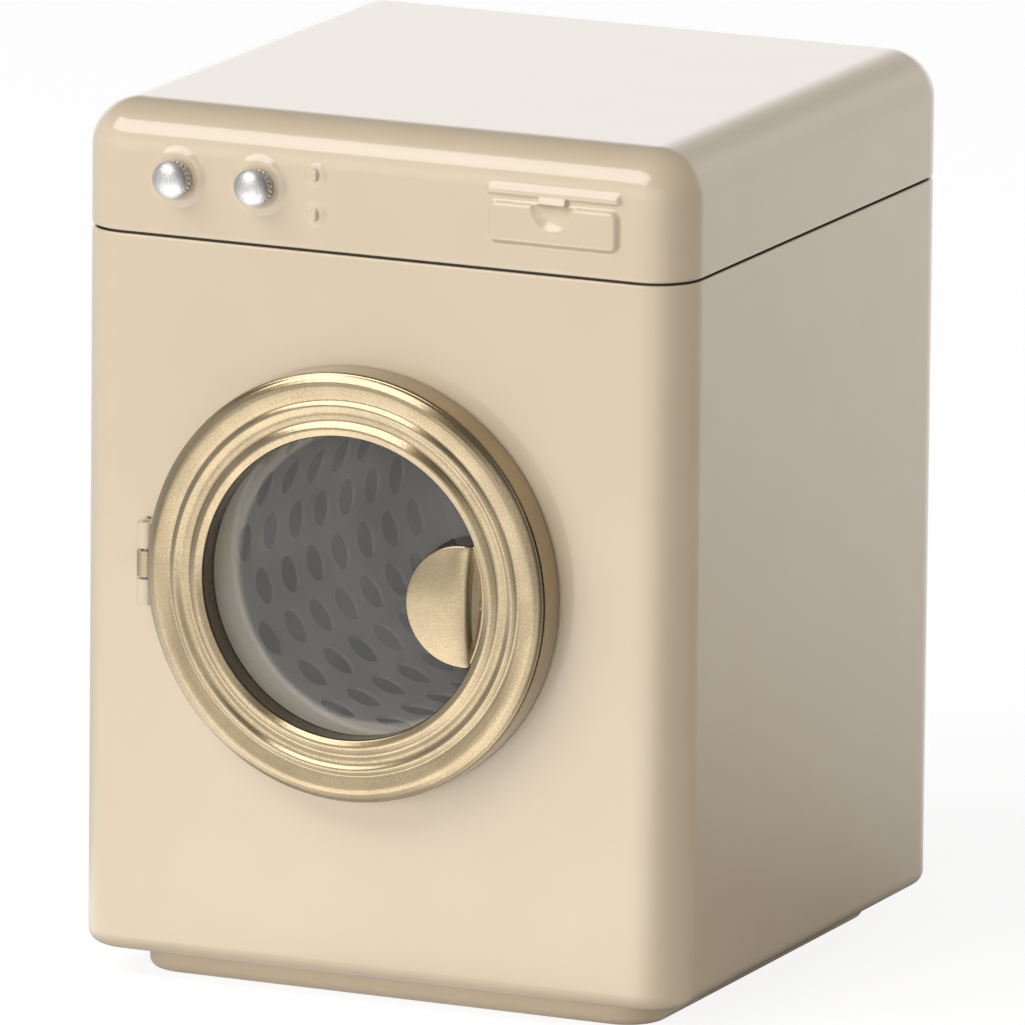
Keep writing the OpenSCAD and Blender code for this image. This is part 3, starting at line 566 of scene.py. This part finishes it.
def make_cabinet():
    """The wall's section goes up the outside, over the rim, down the inside and in along the flange.

    Carried round the square, it is raised at the back by the lock seam, whose height eases down to
    the wall at both of its sides and at its top.
    """
    core = half_x - corner_r
    foot_z = cabinet_low.z
    bend_z = foot_z + bottom_r
    rim_z = cabinet_high.z - sheet / 2
    bend_at = corner_r - bottom_r
    outer_bend = bend(bend_at, bend_z, bottom_r, -90, 0)
    rim = bend(corner_r - sheet / 2, rim_z, sheet / 2, 0, 180)
    inner_bend = bend(bend_at, bend_z, bottom_r - sheet, 0, -90)
    wall_z = np.array((bend_z + support, seam_top - seam_slope, seam_top, rim_z - support))
    radii = np.concatenate((
        [flange_r, bend_at - support], outer_bend[0], np.full(len(wall_z), corner_r), rim[0],
        np.full(2, corner_r - sheet), inner_bend[0], [bend_at - support, flange_r],
    ))
    heights = np.concatenate((
        [foot_z, foot_z], outer_bend[1], wall_z, rim[1],
        [rim_z - support, bend_z + support], inner_bend[1], [foot_z + sheet, foot_z + sheet],
    ))
    cores = np.full((len(radii), 2), core)
    cores[[0, -1]] = half_x - flange_inset - flange_r
    seam = np.linspace(-seam_half_w, -seam_half_w + seam_slope, seam_slope_steps)
    seam = -(seam_x + np.concatenate((seam, -seam))) / core
    plain = side_columns(side_steps)
    shape = outline((plain, plain, side_columns(side_steps, seam), plain))
    points = carry_round(shape, cores, radii, heights)
    aside = np.abs(points[..., 0] - seam_x)
    proud = seam_proud * ease((seam_half_w - aside) / seam_slope)
    proud = proud * ease((seam_top - points[..., 2]) / seam_slope) * (points[..., 2] > bend_z)
    outside = (points[..., 1] > half_y - sheet / 4) & (radii[:, None] == corner_r)
    points[..., 1] += proud * outside
    return build_piece("cabinet", [(points, True, True)])


cabinet = make_cabinet()
openings = [(rod(mouth_centre, mouth_hole_r, cut_past, mouth_hole_steps), False, True)]
for end in (-1, 1):
    slot_z = mouth_centre[2] + end * slot_from_middle
    slot_low = (slot_x[0], front_y - cut_past / 2, slot_z - slot_half_h)
    slot_high = (slot_x[1], front_y + cut_past / 2, slot_z + slot_half_h)
    openings.append((block(slot_low, slot_high), False, True))
for degrees in rear_rivet_at:
    turn = math.radians(degrees)
    across = mouth_centre[0] + rear_rivet_circle * math.cos(turn)
    up = mouth_centre[2] + rear_rivet_circle * math.sin(turn)
    openings.append((rod((across, half_y, up), rear_rivet_hole_r, cut_past, rear_rivet_steps), False, True))
drill(cabinet, openings)
finish_piece(cabinet, cabinet_enamel, "cabinet", "enamel", "cabinet_shell")


# Foot
# A shallow tray pressed from tinplate and enamelled like the cabinet. It is set in under it, and
# its rim lies on the cabinet's turned-in edge.
foot_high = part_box("base_pan")[1]
foot_half = half_x - 4.8 * mm
foot_r = 4.5 * mm
foot_edge_r = 0.9 * mm
foot_rim_w = 2.6 * mm
foot_side_steps = 6


def make_foot():
    """From the middle of the underside out, up the wall, out round the rim, and back down inside.

    The two rows of the rim's edge keep the wall's radius on wider cores, so the rim stands out.
    """
    core = foot_half - foot_r
    edge_at = foot_r - foot_edge_r
    rim_z = foot_high.z - sheet
    outer_edge = bend(edge_at, foot_edge_r, foot_edge_r, -90, 0)
    inner_edge = bend(edge_at, foot_edge_r, foot_edge_r - sheet, 0, -90)
    radii = np.concatenate((
        [0, 0], outer_edge[0], [foot_r, foot_r, foot_r, foot_r - sheet, foot_r - sheet],
        inner_edge[0], [0, 0],
    ))
    heights = np.concatenate((
        [0, 0], outer_edge[1], [rim_z, rim_z, rim_z + sheet, rim_z + sheet, foot_edge_r + support],
        inner_edge[1], [sheet, sheet],
    ))
    cores = np.full((len(radii), 2), core)
    cores[[0, -1]] = 0
    rim_first = 2 + len(outer_edge[0]) + 1
    cores[rim_first:rim_first + 2] = core + foot_rim_w
    shape = outline([side_columns(foot_side_steps)] * 4)
    return build_piece("foot", [(carry_round(shape, cores, radii, heights), False, True)])


foot = make_foot()
finish_piece(foot, enamel, "cabinet", "enamel", "base_pan")


# Rear bearing
# A hat-shaped plate of bare steel is riveted to the rear wall. It carries a turned brass bush, in
# which the drum's steel axle runs, kept by a push-on washer.
steel_light = (176, 178, 180)
steel_dark = (150, 152, 156)
steel_roughness = (0.26, 0.4)
scratch_size = 0.25 * mm
scratch_stretch = (1, 1, 14)
scratch_spread = (0.35, 0.65)
brass_bright = (206, 182, 118)
brass_tarnished = (170, 142, 86)
brass_roughness = (0.28, 0.48)
tarnish_size = 1.5 * mm
tarnish_spread = (0.35, 0.7)


def steel_finish():
    """Bare bright steel with fine scratches up and down."""
    made, shader, place = start_finish("steel", Metallic=1.0)
    scratches = place.noise(scratch_size, detail=3.0, stretch=scratch_stretch).between(*scratch_spread)
    feed(
        shader,
        Base_Color=scratches.blend(paint(steel_light), paint(steel_dark)),
        Roughness=scratches.span(*steel_roughness),
    )
    return made


def brass_finish():
    """Turned brass with a thin tarnish."""
    made, shader, place = start_finish("brass", Metallic=1.0)
    tarnish = place.noise(tarnish_size, detail=3.0).between(*tarnish_spread)
    feed(
        shader,
        Base_Color=tarnish.blend(paint(brass_bright), paint(brass_tarnished)),
        Roughness=tarnish.span(*brass_roughness),
    )
    return made


steel = steel_finish()
brass = brass_finish()
dress(steel, "bearing_plate", "bearing_rivets", "drum_axle", "axle_retainer")
dress(brass, "drum_bush")


# Drum
# A cylinder of grey tinplate with staggered rows of punched holes, a rolled front rim and a
# dished back. The sheet keeps the mill's fine drawn lines along the drum.
tin_light = (219, 214, 203)
tin_dark = (207, 203, 193)
tin_roughness = (0.36, 0.52)
drawn_size = 0.2 * mm
drawn_stretch = (1, 30, 1)
drawn_spread = (0.3, 0.7)
drawn_height = 1.5e-6
drum_mottle_size = 5 * mm
drum_mottle_spread = (0.3, 0.7)


def drum_finish():
    """Dull grey tinplate, brushed along the drum, mottled and a little oily."""
    made, shader, place = start_finish("drum_metal")
    drawn = place.noise(drawn_size, detail=2.0, stretch=drawn_stretch).between(*drawn_spread)
    mottle = place.noise(drum_mottle_size, detail=3.0).between(*drum_mottle_spread)
    feed(
        shader,
        Base_Color=mottle.blend(paint(tin_light), paint(tin_dark)),
        Roughness=drawn.span(*tin_roughness),
        Normal=(drawn * drawn_height).bump(),
    )
    return made


dress(drum_finish(), "drum_shell", "drum_front_rim", "drum_back")


# Door
# A ring spun from tinplate in satin gold lacquer, with a rolled edge, a broad band, a bead and a
# rounded bore. It clamps the window against a flat back ring. A leaf riveted to that ring carries
# the hinge's middle knuckle.
ring_r = (door_high.x - door_low.x) / 2
ring_centre = mouth_centre
ring_face = front_y - door_low.y
ring_foot = 0.35 * mm
ring_sheet = 0.35 * mm
ring_sharp = 35
ring_steps = 288
bore_r = 15.4 * mm
bore_edge_r = 0.32 * mm
bore_edge_start = 118
bore_edge_steps = 8
roll_r = 0.5 * mm
roll_end = 50
roll_steps = 12
window_seat = 1.5 * mm
window_flange = 3.3 * mm
face_depth = 0.75 * mm
face_rows = 160
face_blur = np.linspace(-0.09, 0.09, 9) * mm
hinge_notch_half = 4.5 * mm
hinge_notch_top = 2.9 * mm
hinge_notch_reach = 3 * mm

gold_light = (170, 149, 108)
gold_dark = (132, 112, 76)
# Painted shade for the bore wall, inside the ring's bore.
gold_bore_shade = (106, 88, 59)
gold_roughness = (0.15, 0.27)
grain_size = 0.12 * mm
grain_spread = (0.25, 0.75)
grain_height = 1.1e-6
cloud_size = 4 * mm
cloud_spread = (0.3, 0.7)
cloud_share = 0.3
bore_shade_width = 0.2 * mm

# Radius, and how deep the face lies below its highest bead there.
bore_steps = ((15.5, 0.31), (16.06, 0.03), (16.2, 0), (16.34, 0.03), (16.82, 0.3), (16.98, 0.42))
groove_steps = ((17.1, 0.44), (17.55, 0.39), (17.8, 0.39), (17.96, 0.37))
bead_steps = ((18.42, 0.12), (18.52, 0.1), (18.6, 0.115), (18.94, 0.3), (19.06, 0.4), (19.16, 0.41))
band_steps = ((19.5, 0.31), (20.1, 0.21), (20.5, 0.17), (20.8, 0.18), (20.9, 0.21))
edge_steps = ((21.38, 0.46), (21.52, 0.56), (21.72, 0.74))
face_steps = np.array((*bore_steps, *groove_steps, *bead_steps, *band_steps, *edge_steps)) * mm


def gold_finish(name, bore_shade):
    """Satin gold lacquer over tin, finely grained. One with painted shade is darker within the bore's
    radius, where the bore wall lies in shade.
    """
    made, shader, place = start_finish(
        name, Metallic=1.0, Coat_Weight=1.0, Coat_Roughness=0.13, Coat_IOR=1.8
    )
    grain = place.noise(grain_size, detail=2.0).between(*grain_spread)
    cloud = place.noise(cloud_size, detail=2.0).between(*cloud_spread)
    mottle = grain * (1 - cloud_share) + cloud * cloud_share
    lacquer = mottle.blend(paint(gold_light), paint(gold_dark))
    if bore_shade:
        # Painted shade: the bore wall is darker, as it lies in shade.
        aside = place.axis("X") - ring_centre[0]
        up = place.axis("Z") - ring_centre[2]
        open_face = ((aside * aside + up * up) ** 0.5).between(bore_r, bore_r + bore_shade_width)
        lacquer = open_face.blend(paint(gold_bore_shade), lacquer)
    feed(
        shader,
        Base_Color=lacquer,
        Roughness=grain.span(*gold_roughness),
        Normal=(grain * grain_height).bump(),
    )
    return made


gold = gold_finish("satin_gold", bore_shade=False)
ring_gold = gold_finish("satin_gold_ring", bore_shade=True)
dress(gold, "door_back_ring", "door_hinge_leaf")
dress(steel, "hinge_pin")
dress(brass, "hinge_rivets")


def ring_height(radius):
    """Height of the ring's face: the steps of its bead and grooves, each eased by the blur."""
    drops = [np.interp(radius + shift, face_steps[:, 0], face_steps[:, 1]) for shift in face_blur]
    return ring_face - np.mean(drops, axis=0)


def arc(radius, start, end, steps):
    """Points of an arc from start to end degrees about the origin."""
    turn = np.radians(np.linspace(start, end, steps))
    return radius * np.stack((np.cos(turn), np.sin(turn)), axis=1)


def make_ring():
    """The spun sheet's section, turned about the door's axis.

    It starts at the foot of the side wall, rolls over onto the face, follows the face's height
    inwards, rolls over the bore's edge and runs down the bore and out along the window's flange.
    The hidden side then goes straight back.
    """
    roll = arc(roll_r, 0, roll_end, roll_steps)
    edge = arc(bore_edge_r, bore_edge_start, 180, bore_edge_steps)
    face = np.linspace(ring_r - roll_r + roll[-1, 0], bore_r + bore_edge_r + edge[0, 0], face_rows)
    lift = ring_height(face)
    roll = roll + (ring_r - roll_r, lift[0] - roll[-1, 1])
    edge = edge + (bore_r + bore_edge_r, lift[-1] - edge[0, 1])
    inside = ring_face - face_depth - ring_sheet
    rim_r = bore_r + window_flange
    section = np.concatenate((
        [(ring_r, ring_foot)],
        roll,
        np.stack((face, lift), axis=1)[1:-1],
        edge,
        [
            (bore_r, window_seat),
            (rim_r, window_seat),
            (rim_r, window_seat + ring_sheet),
            (bore_r + ring_sheet, window_seat + ring_sheet),
            (bore_r + ring_sheet, inside),
            (ring_r - ring_sheet, inside),
            (ring_r - ring_sheet, ring_foot),
        ],
    ))
    return build_piece(
        "door_ring_spun", [(turned(section, ring_centre, ring_steps), True, True)], ring_sharp
    )


ring = make_ring()
notch_low = (door_low.x - cut_past / 2, front_y - hinge_notch_top, ring_centre[2] - hinge_notch_half)
notch_high = (door_low.x + hinge_notch_reach, front_y + cut_past / 2, ring_centre[2] + hinge_notch_half)
drill(ring, [(block(notch_low, notch_high), False, True)], ring_sharp)
finish_piece(ring, ring_gold, "door", "satin_gold", "door_ring")


# Handle
# A half disc cut from the same lacquered tinplate, slightly crowned, and folded back to a strip
# that slopes down to the ring's bore and turns along its wall, where one small rivet holds it.
handle_r = 6.24 * mm
handle_sheet = 0.5 * mm
handle_round = 0.25 * mm
handle_drop = 0.6 * mm
handle_front = 3.9 * mm
handle_middle = handle_front - handle_sheet / 2
handle_crown = 0.54 * mm
crown_reach = 2.2 * mm
fold_x = 12.98 * mm
fold_r = 1.3 * mm
strip_steep = math.radians(50)
strip_shallow = math.radians(34)
strip_knee = (0.1 * mm, 0.4 * mm)
bore_strip_r = 15.38 * mm
bore_strip_low = 1.9 * mm
bore_strip_high = 3.55 * mm
bore_strip_half = 6.3 * mm

disc_rows = 16
disc_edge_rows = 7
disc_steps = 61
fold_steps = 9
strip_steps = 24
bore_strip_steps = 40
bore_strip_round = np.radians(np.arange(0, 360, 30))
handle_sharp = 45


def place_on_door(across, up, out):
    """Points measured from the door's axis and the cabinet's front, in the row frame."""
    parts = np.broadcast_arrays(ring_centre[0] + across, front_y - out, ring_centre[2] + up)
    return np.stack(parts, axis=-1)


def half_sheet(reach):
    """Half the sheet's thickness at a distance from the pull's middle: round over the last of it."""
    into = np.clip((reach - handle_r + handle_round) / handle_round, 0, 1)
    return handle_sheet / 2 * np.sqrt(1 - into ** 2)


def pull_reach():
    """Distances from the pull's middle: even steps, then closer ones over its round edge."""
    even = np.linspace(0, handle_r - handle_round, disc_rows)
    edge = handle_round * np.sin(np.linspace(0, math.pi / 2, disc_edge_rows))
    return np.concatenate((even[:-1], handle_r - handle_round + edge))


def pull_disc():
    """The half disc: its back from the middle out and its face from the edge in, by the half turn.

    The crown rises from the fold as 1 - short^2, where short falls from 1 to 0 over the crown's
    reach, and it falls off as 1 - (reach / radius)^2.
    """
    reach = pull_reach()
    turn = np.radians(np.linspace(90, 270, disc_steps))
    loop = np.concatenate((reach, reach[-2::-1]))
    side = np.concatenate((-np.ones(len(reach) - 1), np.ones(len(reach))))
    across = loop[:, None] * np.cos(turn)
    up = loop[:, None] * np.sin(turn)
    short = 1 - np.clip(-across / crown_reach, 0, 1)
    crown = handle_crown * (1 - (loop[:, None] / handle_r) ** 2) * (1 - short ** 2)
    out = handle_middle + (side * half_sheet(loop))[:, None] + crown
    return place_on_door(fold_x + across, up - handle_drop, out)


def pull_strip():
    """The fold and the strip, by rows up the face and down the back, and columns towards the bore.

    The sheet's middle starts with the crown's slope, turns about the fold until it is steep, and
    falls on at that slope. Past the knee it falls at the shallow one. The faces lie half a
    sheet to either side of it.
    """
    reach = pull_reach()
    up = np.concatenate((-reach[:0:-1], reach, reach[-2::-1], -reach[1:-1]))
    side = np.concatenate((np.ones(2 * len(reach) - 1), -np.ones(2 * len(reach) - 3)))
    middle_r = fold_r - handle_sheet / 2
    start = np.arctan(2 * handle_crown / crown_reach * (1 - (up[:, None] / handle_r) ** 2))
    shares = np.linspace(0, 1, fold_steps)
    turn = start + (strip_steep - start) * shares
    turn_x = fold_x + middle_r * (np.sin(turn) - np.sin(start))
    turn_out = handle_middle + middle_r * (np.cos(turn) - np.cos(start))
    run = np.sqrt(bore_strip_r ** 2 - (up - handle_drop) ** 2) - turn_x[:, -1]
    along = run[:, None] * np.append(np.linspace(0, 1, strip_steps)[1:], 1)
    past_knee = ease((along - strip_knee[0]) / (strip_knee[1] - strip_knee[0]))
    slope = math.tan(strip_steep) + (math.tan(strip_shallow) - math.tan(strip_steep)) * past_knee
    fall = np.cumsum(np.diff(along, axis=1, prepend=0) * slope, axis=1)
    middle_x = np.concatenate((turn_x, turn_x[:, -1:] + along), axis=1)
    middle_out = np.concatenate((turn_out, turn_out[:, -1:] - fall), axis=1)
    tilt = np.concatenate((np.tile(strip_steep * shares, (len(up), 1)), np.arctan(slope)), axis=1)
    thick = (side * half_sheet(np.abs(up)))[:, None] * np.append(np.ones(tilt.shape[1] - 1), 0)
    across = middle_x + thick * np.sin(tilt)
    return place_on_door(across, up[:, None] - handle_drop, middle_out + thick * np.cos(tilt))


def pull_end():
    """The strip's end on the bore wall: a rounded section carried along an arc, shut at both ends."""
    half = handle_sheet / 2
    middle = np.array((bore_strip_r - half, (bore_strip_low + bore_strip_high) / 2))
    tall = (bore_strip_high - bore_strip_low) / 2 - half
    rounded = middle + half * np.stack((np.cos(bore_strip_round), np.sin(bore_strip_round)), axis=1)
    rounded[:, 1] += np.where(bore_strip_round <= math.pi, tall, -tall)
    low_turn = math.asin((-bore_strip_half - handle_drop) / bore_strip_r)
    high_turn = math.asin((bore_strip_half - handle_drop) / bore_strip_r)
    turn = np.linspace(low_turn, high_turn, bore_strip_steps)
    turn = np.concatenate(([low_turn], turn, [high_turn]))
    grow = np.concatenate(([0], np.ones(bore_strip_steps), [0]))
    radius = middle[0] + (rounded[:, :1] - middle[0]) * grow
    out = middle[1] + (rounded[:, 1:] - middle[1]) * grow
    return place_on_door(radius * np.cos(turn), radius * np.sin(turn), out)


handle = build_piece(
    "door_handle_pull",
    [(pull_disc(), False, False), (pull_strip(), True, False), (pull_end(), True, False)],
    handle_sharp,
)
finish_piece(handle, gold, "door", "satin_gold", "door_handle")
dress(steel, "handle_rivet")


# Window
# A flat round pane of clear plastic, a little smoky, with a finger notch cut out behind the
# handle. The ring's flange and the back ring clamp it. Near its lower left edge a pale crescent is painted
# light, for the lit collar behind it.
smoke_dark = (133, 132, 131)
smoke_light = (141, 140, 139)
# Painted light: a pale crescent near the pane's edge, for the lit collar behind it.
pane_painted_light = (218, 212, 197)
smoke_cover = 0.21
haze_cover = 0.04
painted_light_cover = 0.02
haze_size = 6 * mm
haze_spread = (0.3, 0.7)
painted_light_x = ring_centre[0] + 2.3 * mm
painted_light_z = ring_centre[2] + 0.9 * mm
painted_light_from = (14.7 * mm, 15.1 * mm)


def window_finish():
    """Smoky clear plastic, glossy, with a faint haze, and painted light past a circle near its edge: a pale
    crescent for the lit collar behind.
    """
    made, shader, place = start_finish("smoky_window", Roughness=0.08, IOR=1.46)
    haze = place.noise(haze_size, detail=2.0).between(*haze_spread)
    smoke = haze.blend(paint(smoke_dark), paint(smoke_light))
    aside = place.axis("X") - painted_light_x
    up = place.axis("Z") - painted_light_z
    # Painted light past a circle set off the pane's middle.
    painted_light = ((aside * aside + up * up) ** 0.5).between(*painted_light_from)
    feed(
        shader,
        Base_Color=painted_light.blend(smoke, paint(pane_painted_light)),
        Alpha=smoke_cover + haze * haze_cover + painted_light * painted_light_cover,
    )
    return made


dress(window_finish(), "door_window")


# Lid
# A drawn cap that slips over the neck. Its front is pressed with a boss for each knob, two
# small pips, and a soap drawer: a ledge whose tab hangs over a plate with a finger scoop.
lid_low, lid_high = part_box("lid_shell")
top_r = 5 * mm
top_rows = 16
top_shares = (0.66, 0.33, 0.0)
lid_rim = 0.2 * mm
lid_rim_steps = 7
lid_wall_rows = 6
lid_inner_rows = 19
lid_front_steps = 20
lid_side_steps = 14
detail_low = 79.0 * mm
detail_high = 86.5 * mm
detail_step = 0.1 * mm
faces_front = 0.999

knob_places = [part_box(name)[0].lerp(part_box(name)[1], 0.5) for name in ("knob_left", "knob_right")]
knob_hole_r = 0.88 * mm
knob_hole_reach = 4 * mm
knob_hole_steps = 40
boss_r = 3.25 * mm
boss_slope = 0.9 * mm
boss_h = 0.33 * mm
pip_x = -6.7 * mm
pip_heights = (84.7 * mm, 80.7 * mm)
pip_seat_r = 1.35 * mm
pip_seat_slope = 0.55 * mm
pip_seat_h = 0.16 * mm
pip_half_w = 0.44 * mm
pip_half_h = 0.68 * mm
pip_rise = 0.42 * mm
pip_roundness = 0.6
drawer_x = 19.3 * mm
plate_half_w = 7.35 * mm
plate_low = 79.5 * mm
plate_high = 84.3 * mm
plate_slope = 0.8 * mm
plate_corner = 1.2 * mm
plate_h = 0.5 * mm
ledge_half_w = 7.6 * mm
ledge_crest = 84.95 * mm
ledge_top = 86.05 * mm
ledge_under = 84.4 * mm
ledge_h = 0.42 * mm
tab_half_w = 1.65 * mm
tab_low = 83.95 * mm
tab_edge = 0.22 * mm
tab_h = 0.9 * mm
scoop_z = 83.8 * mm
scoop_r = 2.4 * mm
scoop_depth = 0.78 * mm


def pressed_front(x, z):
    """How far the lid's front stands out at x and z: the highest of its pressed shapes, less the scoop.

    Bosses, seats, plate and ledge ease up over their slopes. A pip is an oval cap, the tab a ramp
    that rises downwards from the ledge, and the scoop a dish below its own level.
    """
    raised = np.zeros(np.broadcast(x, z).shape)
    for place in knob_places:
        away = np.hypot(x - place.x, z - place.z)
        raised = np.maximum(raised, boss_h * ease((boss_r - away) / boss_slope))
    for pip_z in pip_heights:
        away = np.hypot(x - pip_x, z - pip_z)
        seat = pip_seat_h * ease((pip_seat_r - away) / pip_seat_slope)
        oval = np.clip(1 - ((x - pip_x) / pip_half_w) ** 2 - ((z - pip_z) / pip_half_h) ** 2, 0, 1)
        raised = np.maximum(raised, seat + pip_rise * oval ** pip_roundness)
    aside = np.abs(x - drawer_x)
    plate_middle = (plate_low + plate_high) / 2
    past_x = np.clip(aside - plate_half_w + plate_corner, 0, None)
    past_z = np.clip(np.abs(z - plate_middle) - (plate_high - plate_low) / 2 + plate_corner, 0, None)
    plate = plate_h * ease((plate_corner - np.hypot(past_x, past_z)) / plate_slope)
    away = np.hypot(x - drawer_x, z - scoop_z)
    dish = scoop_depth * np.clip(1 - (away / scoop_r) ** 2, 0, 1) * ease((scoop_z - z) / tab_edge + 1)
    ledge = ledge_h * ease((ledge_half_w - aside) / plate_slope)
    ledge = ledge * ease((ledge_top - z) / (ledge_top - ledge_crest))
    ledge = ledge * ease((z - ledge_under) / (ledge_crest - ledge_under))
    ramp = ledge_h + (tab_h - ledge_h) * (ledge_crest - z) / (ledge_crest - tab_low)
    tab = ramp * ease((tab_half_w - aside) / tab_edge) * ease((z - tab_low) / tab_edge)
    tab = tab * (z < ledge_crest)
    return np.maximum.reduce((raised, plate, ledge, tab)) - dish


def lid_columns():
    """Columns of the lid's outline: close together under the pressed shapes, few elsewhere."""
    core = half_x - corner_r
    near = (
        (knob_places[0].x - boss_r, knob_places[1].x + boss_r),
        (pip_x - pip_seat_r, pip_x + pip_seat_r),
        (drawer_x - ledge_half_w, drawer_x + ledge_half_w),
    )
    fine = [np.arange(low - support, high + 2 * support, detail_step) for low, high in near]
    wide = np.linspace(-core, core, lid_front_steps)
    clear = [x for x in wide if all(x < run[0] - support or x > run[-1] + support for run in fine)]
    front = np.sort(np.concatenate((*fine, clear, (support - core, core - support)))) / core
    plain = side_columns(lid_side_steps)
    return outline((front, plain, plain, plain))


def lid_rows(inset, steps):
    """Core, radius and height of one skin's rows, from the rim up to the middle of the top."""
    rim_z = lid_low.z + lid_rim
    walls = np.concatenate((
        np.linspace(rim_z, detail_low, lid_wall_rows)[:-1],
        np.linspace(detail_low, detail_high, steps),
    ))
    spring = lid_high.z - top_r
    edge_r = top_r - inset
    start = math.asin((detail_high - spring) / edge_r)
    turn = np.linspace(start, math.pi / 2, top_rows)[1:]
    rise = np.clip(walls - spring, 0, None)
    radii = np.concatenate((np.sqrt(edge_r ** 2 - rise ** 2), edge_r * np.cos(turn)))
    heights = np.concatenate((walls, spring + edge_r * np.sin(turn)))
    core = np.array((half_x - corner_r, half_y - corner_r))
    shrink = np.array((1 - support / core[0], *top_shares))
    cores = np.concatenate((np.tile(core, (len(heights), 1)), shrink[:, None] * core))
    radii = np.concatenate((radii, np.zeros(len(shrink))))
    heights = np.concatenate((heights, np.full(len(shrink), lid_high.z - inset)))
    return cores, radii, heights


def lid_skin(shape, inset, steps):
    """One skin of the lid, with the pressed shapes pushed out of its front wall.

    The inner skin doesn't follow the scoop, whose back lies flat. The rows that run to the middle
    of the top stay as they are.
    """
    outs = shape[1]
    points = carry_round(shape, *lid_rows(inset, steps))
    front = outs[:, 1] < -faces_front
    pressed = pressed_front(points[:, front, 0], points[:, front, 2])
    if inset:
        pressed = np.clip(pressed, 0, None)
    points[:, front, 1] -= pressed * (points[:, front, 1] < -half_y / 2)
    return points


def make_lid():
    """The whole cap: inner skin from the top down, a round rim, and the outer skin up to the top."""
    shape = lid_columns()
    outer = lid_skin(shape, 0, int((detail_high - detail_low) / detail_step) + 1)
    inner = lid_skin(shape, sheet, lid_inner_rows)
    turn = np.linspace(-math.pi, 0, lid_rim_steps)[1:-1]
    rim = carry_round(
        shape,
        np.tile((half_x - corner_r, half_y - corner_r), (len(turn), 1)),
        corner_r - sheet / 2 + sheet / 2 * np.cos(turn),
        lid_low.z + lid_rim + lid_rim * np.sin(turn),
    )
    return build_piece("lid", [(np.concatenate((inner[::-1], rim, outer)), False, True)])


lid = make_lid()
knob_holes = [
    (rod((place.x, front_y, place.z), knob_hole_r, knob_hole_reach, knob_hole_steps), False, True)
    for place in knob_places
]
drill(lid, knob_holes)
finish_piece(lid, enamel, "lid", "enamel", "lid_shell")


# Knobs
# Each is turned from brass and plated bright: a domed head over a knurled neck, on a shank that
# passes the lid. A steel washer keeps it from inside.
knurl_teeth = 22
knurl_depth = 0.11
knurl_run_in = 4
knurl_steps = 12
knob_head_r = 1.88 * mm
knob_neck_r = 1.74 * mm
knob_shank_r = 0.8 * mm
knob_neck_at = 0.65 * mm
knob_head_at = 1.6 * mm
knob_edge = 0.35 * mm
knob_dome = 0.9 * mm
knob_dome_rows = 18
knob_neck_rows = 12
knob_back = 1.2 * mm
knob_bevel = 0.1 * mm
bevel_middle = 0.3 * knob_bevel
knob_sharp = 30
silver_light = (226, 225, 222)
silver_dark = (190, 189, 187)
silver_roughness = (0.36, 0.52)
brushed_size = 0.07 * mm
brushed_stretch = (1, 1, 22)
brushed_spread = (0.3, 0.7)
brushed_height = 2.4e-6


def knob_finish():
    """Nickelled brass, brushed up and down by the polishing wheel."""
    made, shader, place = start_finish("knob_silver", Metallic=1.0)
    brushed = place.noise(brushed_size, detail=2.0, stretch=brushed_stretch).between(*brushed_spread)
    feed(
        shader,
        Base_Color=brushed.blend(paint(silver_light), paint(silver_dark)),
        Roughness=brushed.span(*silver_roughness),
        Normal=(brushed * brushed_height).bump(),
    )
    return made


def knurl(profile, angle):
    """Scales the neck's radius down between the knurl's teeth, and less towards the neck's ends."""
    middle = (knob_neck_at + knob_head_at) / 2
    reach = (knob_head_at - knob_neck_at) / 2
    off_shank = profile[:, :1] > (knob_shank_r + knob_neck_r) / 2
    inside = ease((1 - np.abs(profile[:, 1:] - middle) / reach) * knurl_run_in) * off_shank
    return 1 - knurl_depth * inside * (0.5 + 0.5 * np.cos(knurl_teeth * angle)) ** 2


def make_knob(name, centre):
    """The knob's profile from the shank's end to the top of its dome, turned once round."""
    dome_r = (knob_head_r ** 2 + knob_dome ** 2) / (2 * knob_dome)
    tip = knob_head_at + knob_edge + knob_dome
    turn = np.linspace(math.asin(knob_head_r / dome_r), 0, knob_dome_rows)
    dome = np.stack((dome_r * np.sin(turn), tip - dome_r + dome_r * np.cos(turn)), axis=1)
    neck = np.linspace(knob_neck_at, knob_head_at, knob_neck_rows)
    profile = np.concatenate((
        [(0, -knob_back), (knob_shank_r, -knob_back), (knob_shank_r, knob_neck_at)],
        np.stack((np.full(knob_neck_rows, knob_neck_r), neck), axis=1),
        [
            (knob_head_r - knob_bevel, knob_head_at),
            (knob_head_r - bevel_middle, knob_head_at + bevel_middle),
            (knob_head_r, knob_head_at + knob_bevel),
            (knob_head_r, knob_head_at + knob_edge - knob_bevel),
        ],
        dome,
    ))
    steps = knurl_steps * knurl_teeth
    return build_piece(name, [(turned(profile, centre, steps, knurl), False, True)], knob_sharp)


knob_silver = knob_finish()
for name, place in zip(("knob_left", "knob_right"), knob_places):
    knob = make_knob(name + "_turned", (place.x, front_y, place.z))
    finish_piece(knob, knob_silver, name, "knob_silver", name)
dress(steel, "knob_left_washer", "knob_right_washer")
